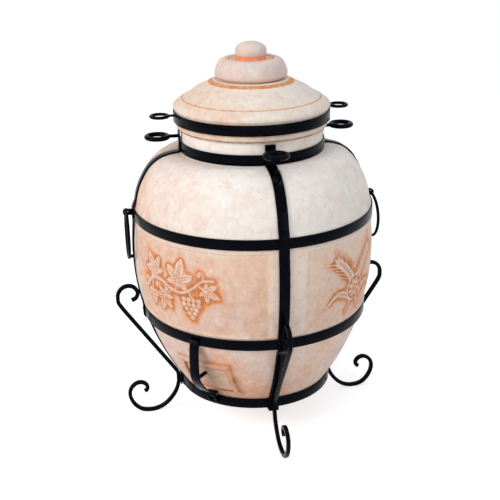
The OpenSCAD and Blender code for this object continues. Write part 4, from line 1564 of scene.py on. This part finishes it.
for place, turn in RIB_TURNS.items():
    piece = dress(eye("eye_" + place, turn, **NECK_EYE), "oven", "neck_ring_" + place)
    print(piece.name, triangles(piece), "triangles")
for place, corner in (("left", "front_left"), ("right", "back_right")):
    turn = RIB_TURNS[corner]
    dress(eye("lid_eye_" + place, turn, **LID_EYE), "lid", "lid_ring_" + place)
    centre = upright_path(turn, [CARRY_AT])[0]
    hanging = circle_path(centre, CARRY_R, across(turn), UP, CARRY_STEPS)
    piece = rod("carrying_ring_" + place, hanging, CARRY_ROD, outward(turn), closed=True)
    dress(piece, "grip_" + place, "grip_" + place)
    print(piece.name, triangles(piece), "triangles")

# %% [markdown]
# ## Keeper
# A bowed strap stands on a pin in front of the draft door, and its tip leans just off the
# lower hoop. Its lower end is narrowed and rolled into an eye for the pin, and a short rod
# ties it to the door. The strap is bent bar too, and the eye is a short turned pipe.

# %% Keeper strap
KEEPER_KEYS = [
    (218.867, 130), (229.867, 137), (247.867, 148), (269.867, 169), (289.548, 199), (293.548, 237),
    (292.548, 276), (290.548, 288), (290.548, 296), (292.048, 301), (297.548, 306),
]
STRAP_W, TAIL_W, STRAP_T = 26, 16, 4
STRAP_FOOT, TAIL_TOP = 136, 139

keep_line = smooth_path(KEEPER_KEYS, 6)
strap_line = upright_path(0, keep_line[keep_line[:, 1] > STRAP_FOOT])
tail_line = upright_path(0, keep_line[keep_line[:, 1] < TAIL_TOP])
strap = bar("strap_bar", strap_line, STRAP_W, STRAP_T, across(0))
tail = bar("strap_tail", tail_line, TAIL_W, STRAP_T, across(0))
print("strap:", triangles(strap), "tail:", triangles(tail), "triangles")

# %% Keeper eye and stay
TUBE_STEPS = 40
STAY_Z, STAY_FROM, STAY_TO, STAY_ROD = 196, 221.601, 282.907, 10


def tube(name, at, z, outer, inner, width):
    """A short pipe whose axis lies along X, with its edges taken off."""
    half = width / 2
    loop = [
        (outer - 0.6, -half), (outer, 0.6 - half), (outer, half - 0.6), (outer - 0.6, half),
        (inner + 0.4, half), (inner, half - 0.4), (inner, 0.4 - half), (inner + 0.4, -half),
    ]
    angles = np.arange(TUBE_STEPS) * 2 * math.pi / TUBE_STEPS
    points, faces = [], []
    for i, (r, x) in enumerate(loop):
        points += [(x, -at + r * math.cos(a), z + r * math.sin(a)) for a in angles]
        following = (i + 1) % len(loop)
        faces += ring_faces(i * TUBE_STEPS, following * TUBE_STEPS, False, False, TUBE_STEPS)
    return mesh_piece(name, points, faces, black_iron, sharp=IRON_SHARP)


barrel = tube("strap_eye", at=215.867, z=125, outer=8.0, inner=4.08, width=16)
dress(join("keeper_strap", [strap, tail, barrel]), "door", "keeper")
stay = rod("stay_rod", upright_path(0, [(STAY_FROM, STAY_Z), (STAY_TO, STAY_Z)]), STAY_ROD, UP)
dress(stay, "door", "keeper_stay")

# %% [markdown]
# ## Lugs, pegs, block and cross
# These small parts are already right in the CAD model, apart from their knife edges. A
# merged copy of each gets a small bevel, which is what catches the light on real iron.

# %% Softened small parts
SOFT_NODES = (
    "lug_left", "lug_right", "peg_left", "peg_right",
    "keeper_bracket", "base_bar", "base_arm_left", "base_arm_right",
)


def soften(node):
    """A copy of a CAD piece with its loose triangles merged and its edges bevelled."""
    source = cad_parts[node]
    work = bmesh.new()
    work.from_mesh(source.data)
    work.transform(source.matrix_world)
    bmesh.ops.remove_doubles(work, verts=work.verts, dist=0.00002)
    bmesh.ops.dissolve_limit(work, angle_limit=math.radians(1), verts=work.verts, edges=work.edges)
    bmesh.ops.recalc_face_normals(work, faces=work.faces)
    mesh = bpy.data.meshes.new("soft_" + node)
    work.to_mesh(mesh)
    work.free()
    mesh.materials.append(black_iron)
    return rub_edges(put_in_scene("soft_" + node, mesh), width=0.8, segments=2, limit=40, sharp=40)


for node in SOFT_NODES:
    piece = dress(soften(node), "oven", node)
    print(piece.name, triangles(piece), "triangles")

# %% [markdown]
# ## Weld spots
# Each crossing of a rib and a hoop was tacked with a torch and filed, which leaves a low
# round spot. A Geometry Nodes tree puts a flattened ball on each crossing with the lower and
# the shoulder hoop, each a little different. The seed is fixed, so the spots never move.

# %% Weld tree
WELD_R, WELD_SEED, WELD_SUNK = 0.0045, 11, 0.15
WELD_FLAT = (1.0, 1.0, 0.30)
WELD_INPUTS = (
    ("Places", "Geometry", None), ("Radius", "Float", WELD_R),
    ("Seed", "Int", WELD_SEED), ("Finish", "Material", None),
)


def weld_tree():
    """A flattened ball on every place, turned the way that the place faces."""
    tree, gin, gout = geometry_tree("weld_spots", WELD_INPUTS, "Spots")
    ball = add(tree, "GeometryNodeMeshUVSphere", Segments=20, Rings=12)
    turn = add(tree, "FunctionNodeAlignRotationToVector", axis="Z")
    facing = add(tree, "GeometryNodeInputNamedAttribute", data_type="FLOAT_VECTOR", Name="facing")
    vary = add(tree, "FunctionNodeRandomValue", data_type="FLOAT", Min=0.85, Max=1.12)
    flat = add(tree, "ShaderNodeVectorMath", operation="MULTIPLY")
    flat.inputs[1].default_value = WELD_FLAT
    put = add(tree, "GeometryNodeInstanceOnPoints")
    connect(tree, [
        (gin.outputs["Radius"], ball.inputs["Radius"]), (facing.outputs[0], turn.inputs["Vector"]),
        (gin.outputs["Seed"], vary.inputs["Seed"]), (vary.outputs["Value"], flat.inputs[0]),
        (gin.outputs["Places"], put.inputs["Points"]), (ball.outputs["Mesh"], put.inputs["Instance"]),
        (turn.outputs[0], put.inputs["Rotation"]), (flat.outputs[0], put.inputs["Scale"]),
    ])
    return finish_tree(tree, gin, gout, put.outputs[0])


WELD = weld_tree()
print("weld tree:", len(WELD.nodes), "nodes")

# %% Weld spots
def spot_places(turn_deg):
    """One point on each crossing with the lower and the shoulder hoop, with the way it faces."""
    places = []
    for hoop in ("lower", "shoulder"):
        places.append((rib_over(hoop) + BAR_T - WELD_SUNK, HOOPS[hoop][0] + BAR_W / 2))
    mesh = bpy.data.meshes.new("places")
    mesh.from_pydata((np.array(upright_path(turn_deg, places)) * MM).tolist(), [], [])
    facing = mesh.attributes.new("facing", "FLOAT_VECTOR", "POINT")
    for item in facing.data:
        item.vector = outward(turn_deg)
    return put_in_scene("places", mesh)


for number, (place, turn) in enumerate(RIB_TURNS.items()):
    values = {"Radius": WELD_R, "Seed": WELD_SEED + number, "Finish": black_iron}
    spots = nodes_piece("weld_" + place, spot_places(turn), WELD, values)
    dress(spots, "oven", "rib_" + place)
    print(spots.name, triangles(spots), "triangles")

# %% [markdown]
# ## Pieces kept as they are
# The fire grate and the pin are plain turned and cast shapes, so the CAD meshes are used
# as they stand. Only their finish is set here.

# %% Carried-over pieces
for node, material in (("fire_grate", grate_iron), ("keeper_pin", bare_steel)):
    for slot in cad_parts[node].material_slots:
        slot.material = material
    print("carried over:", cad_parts[node].name, "in", material.name)
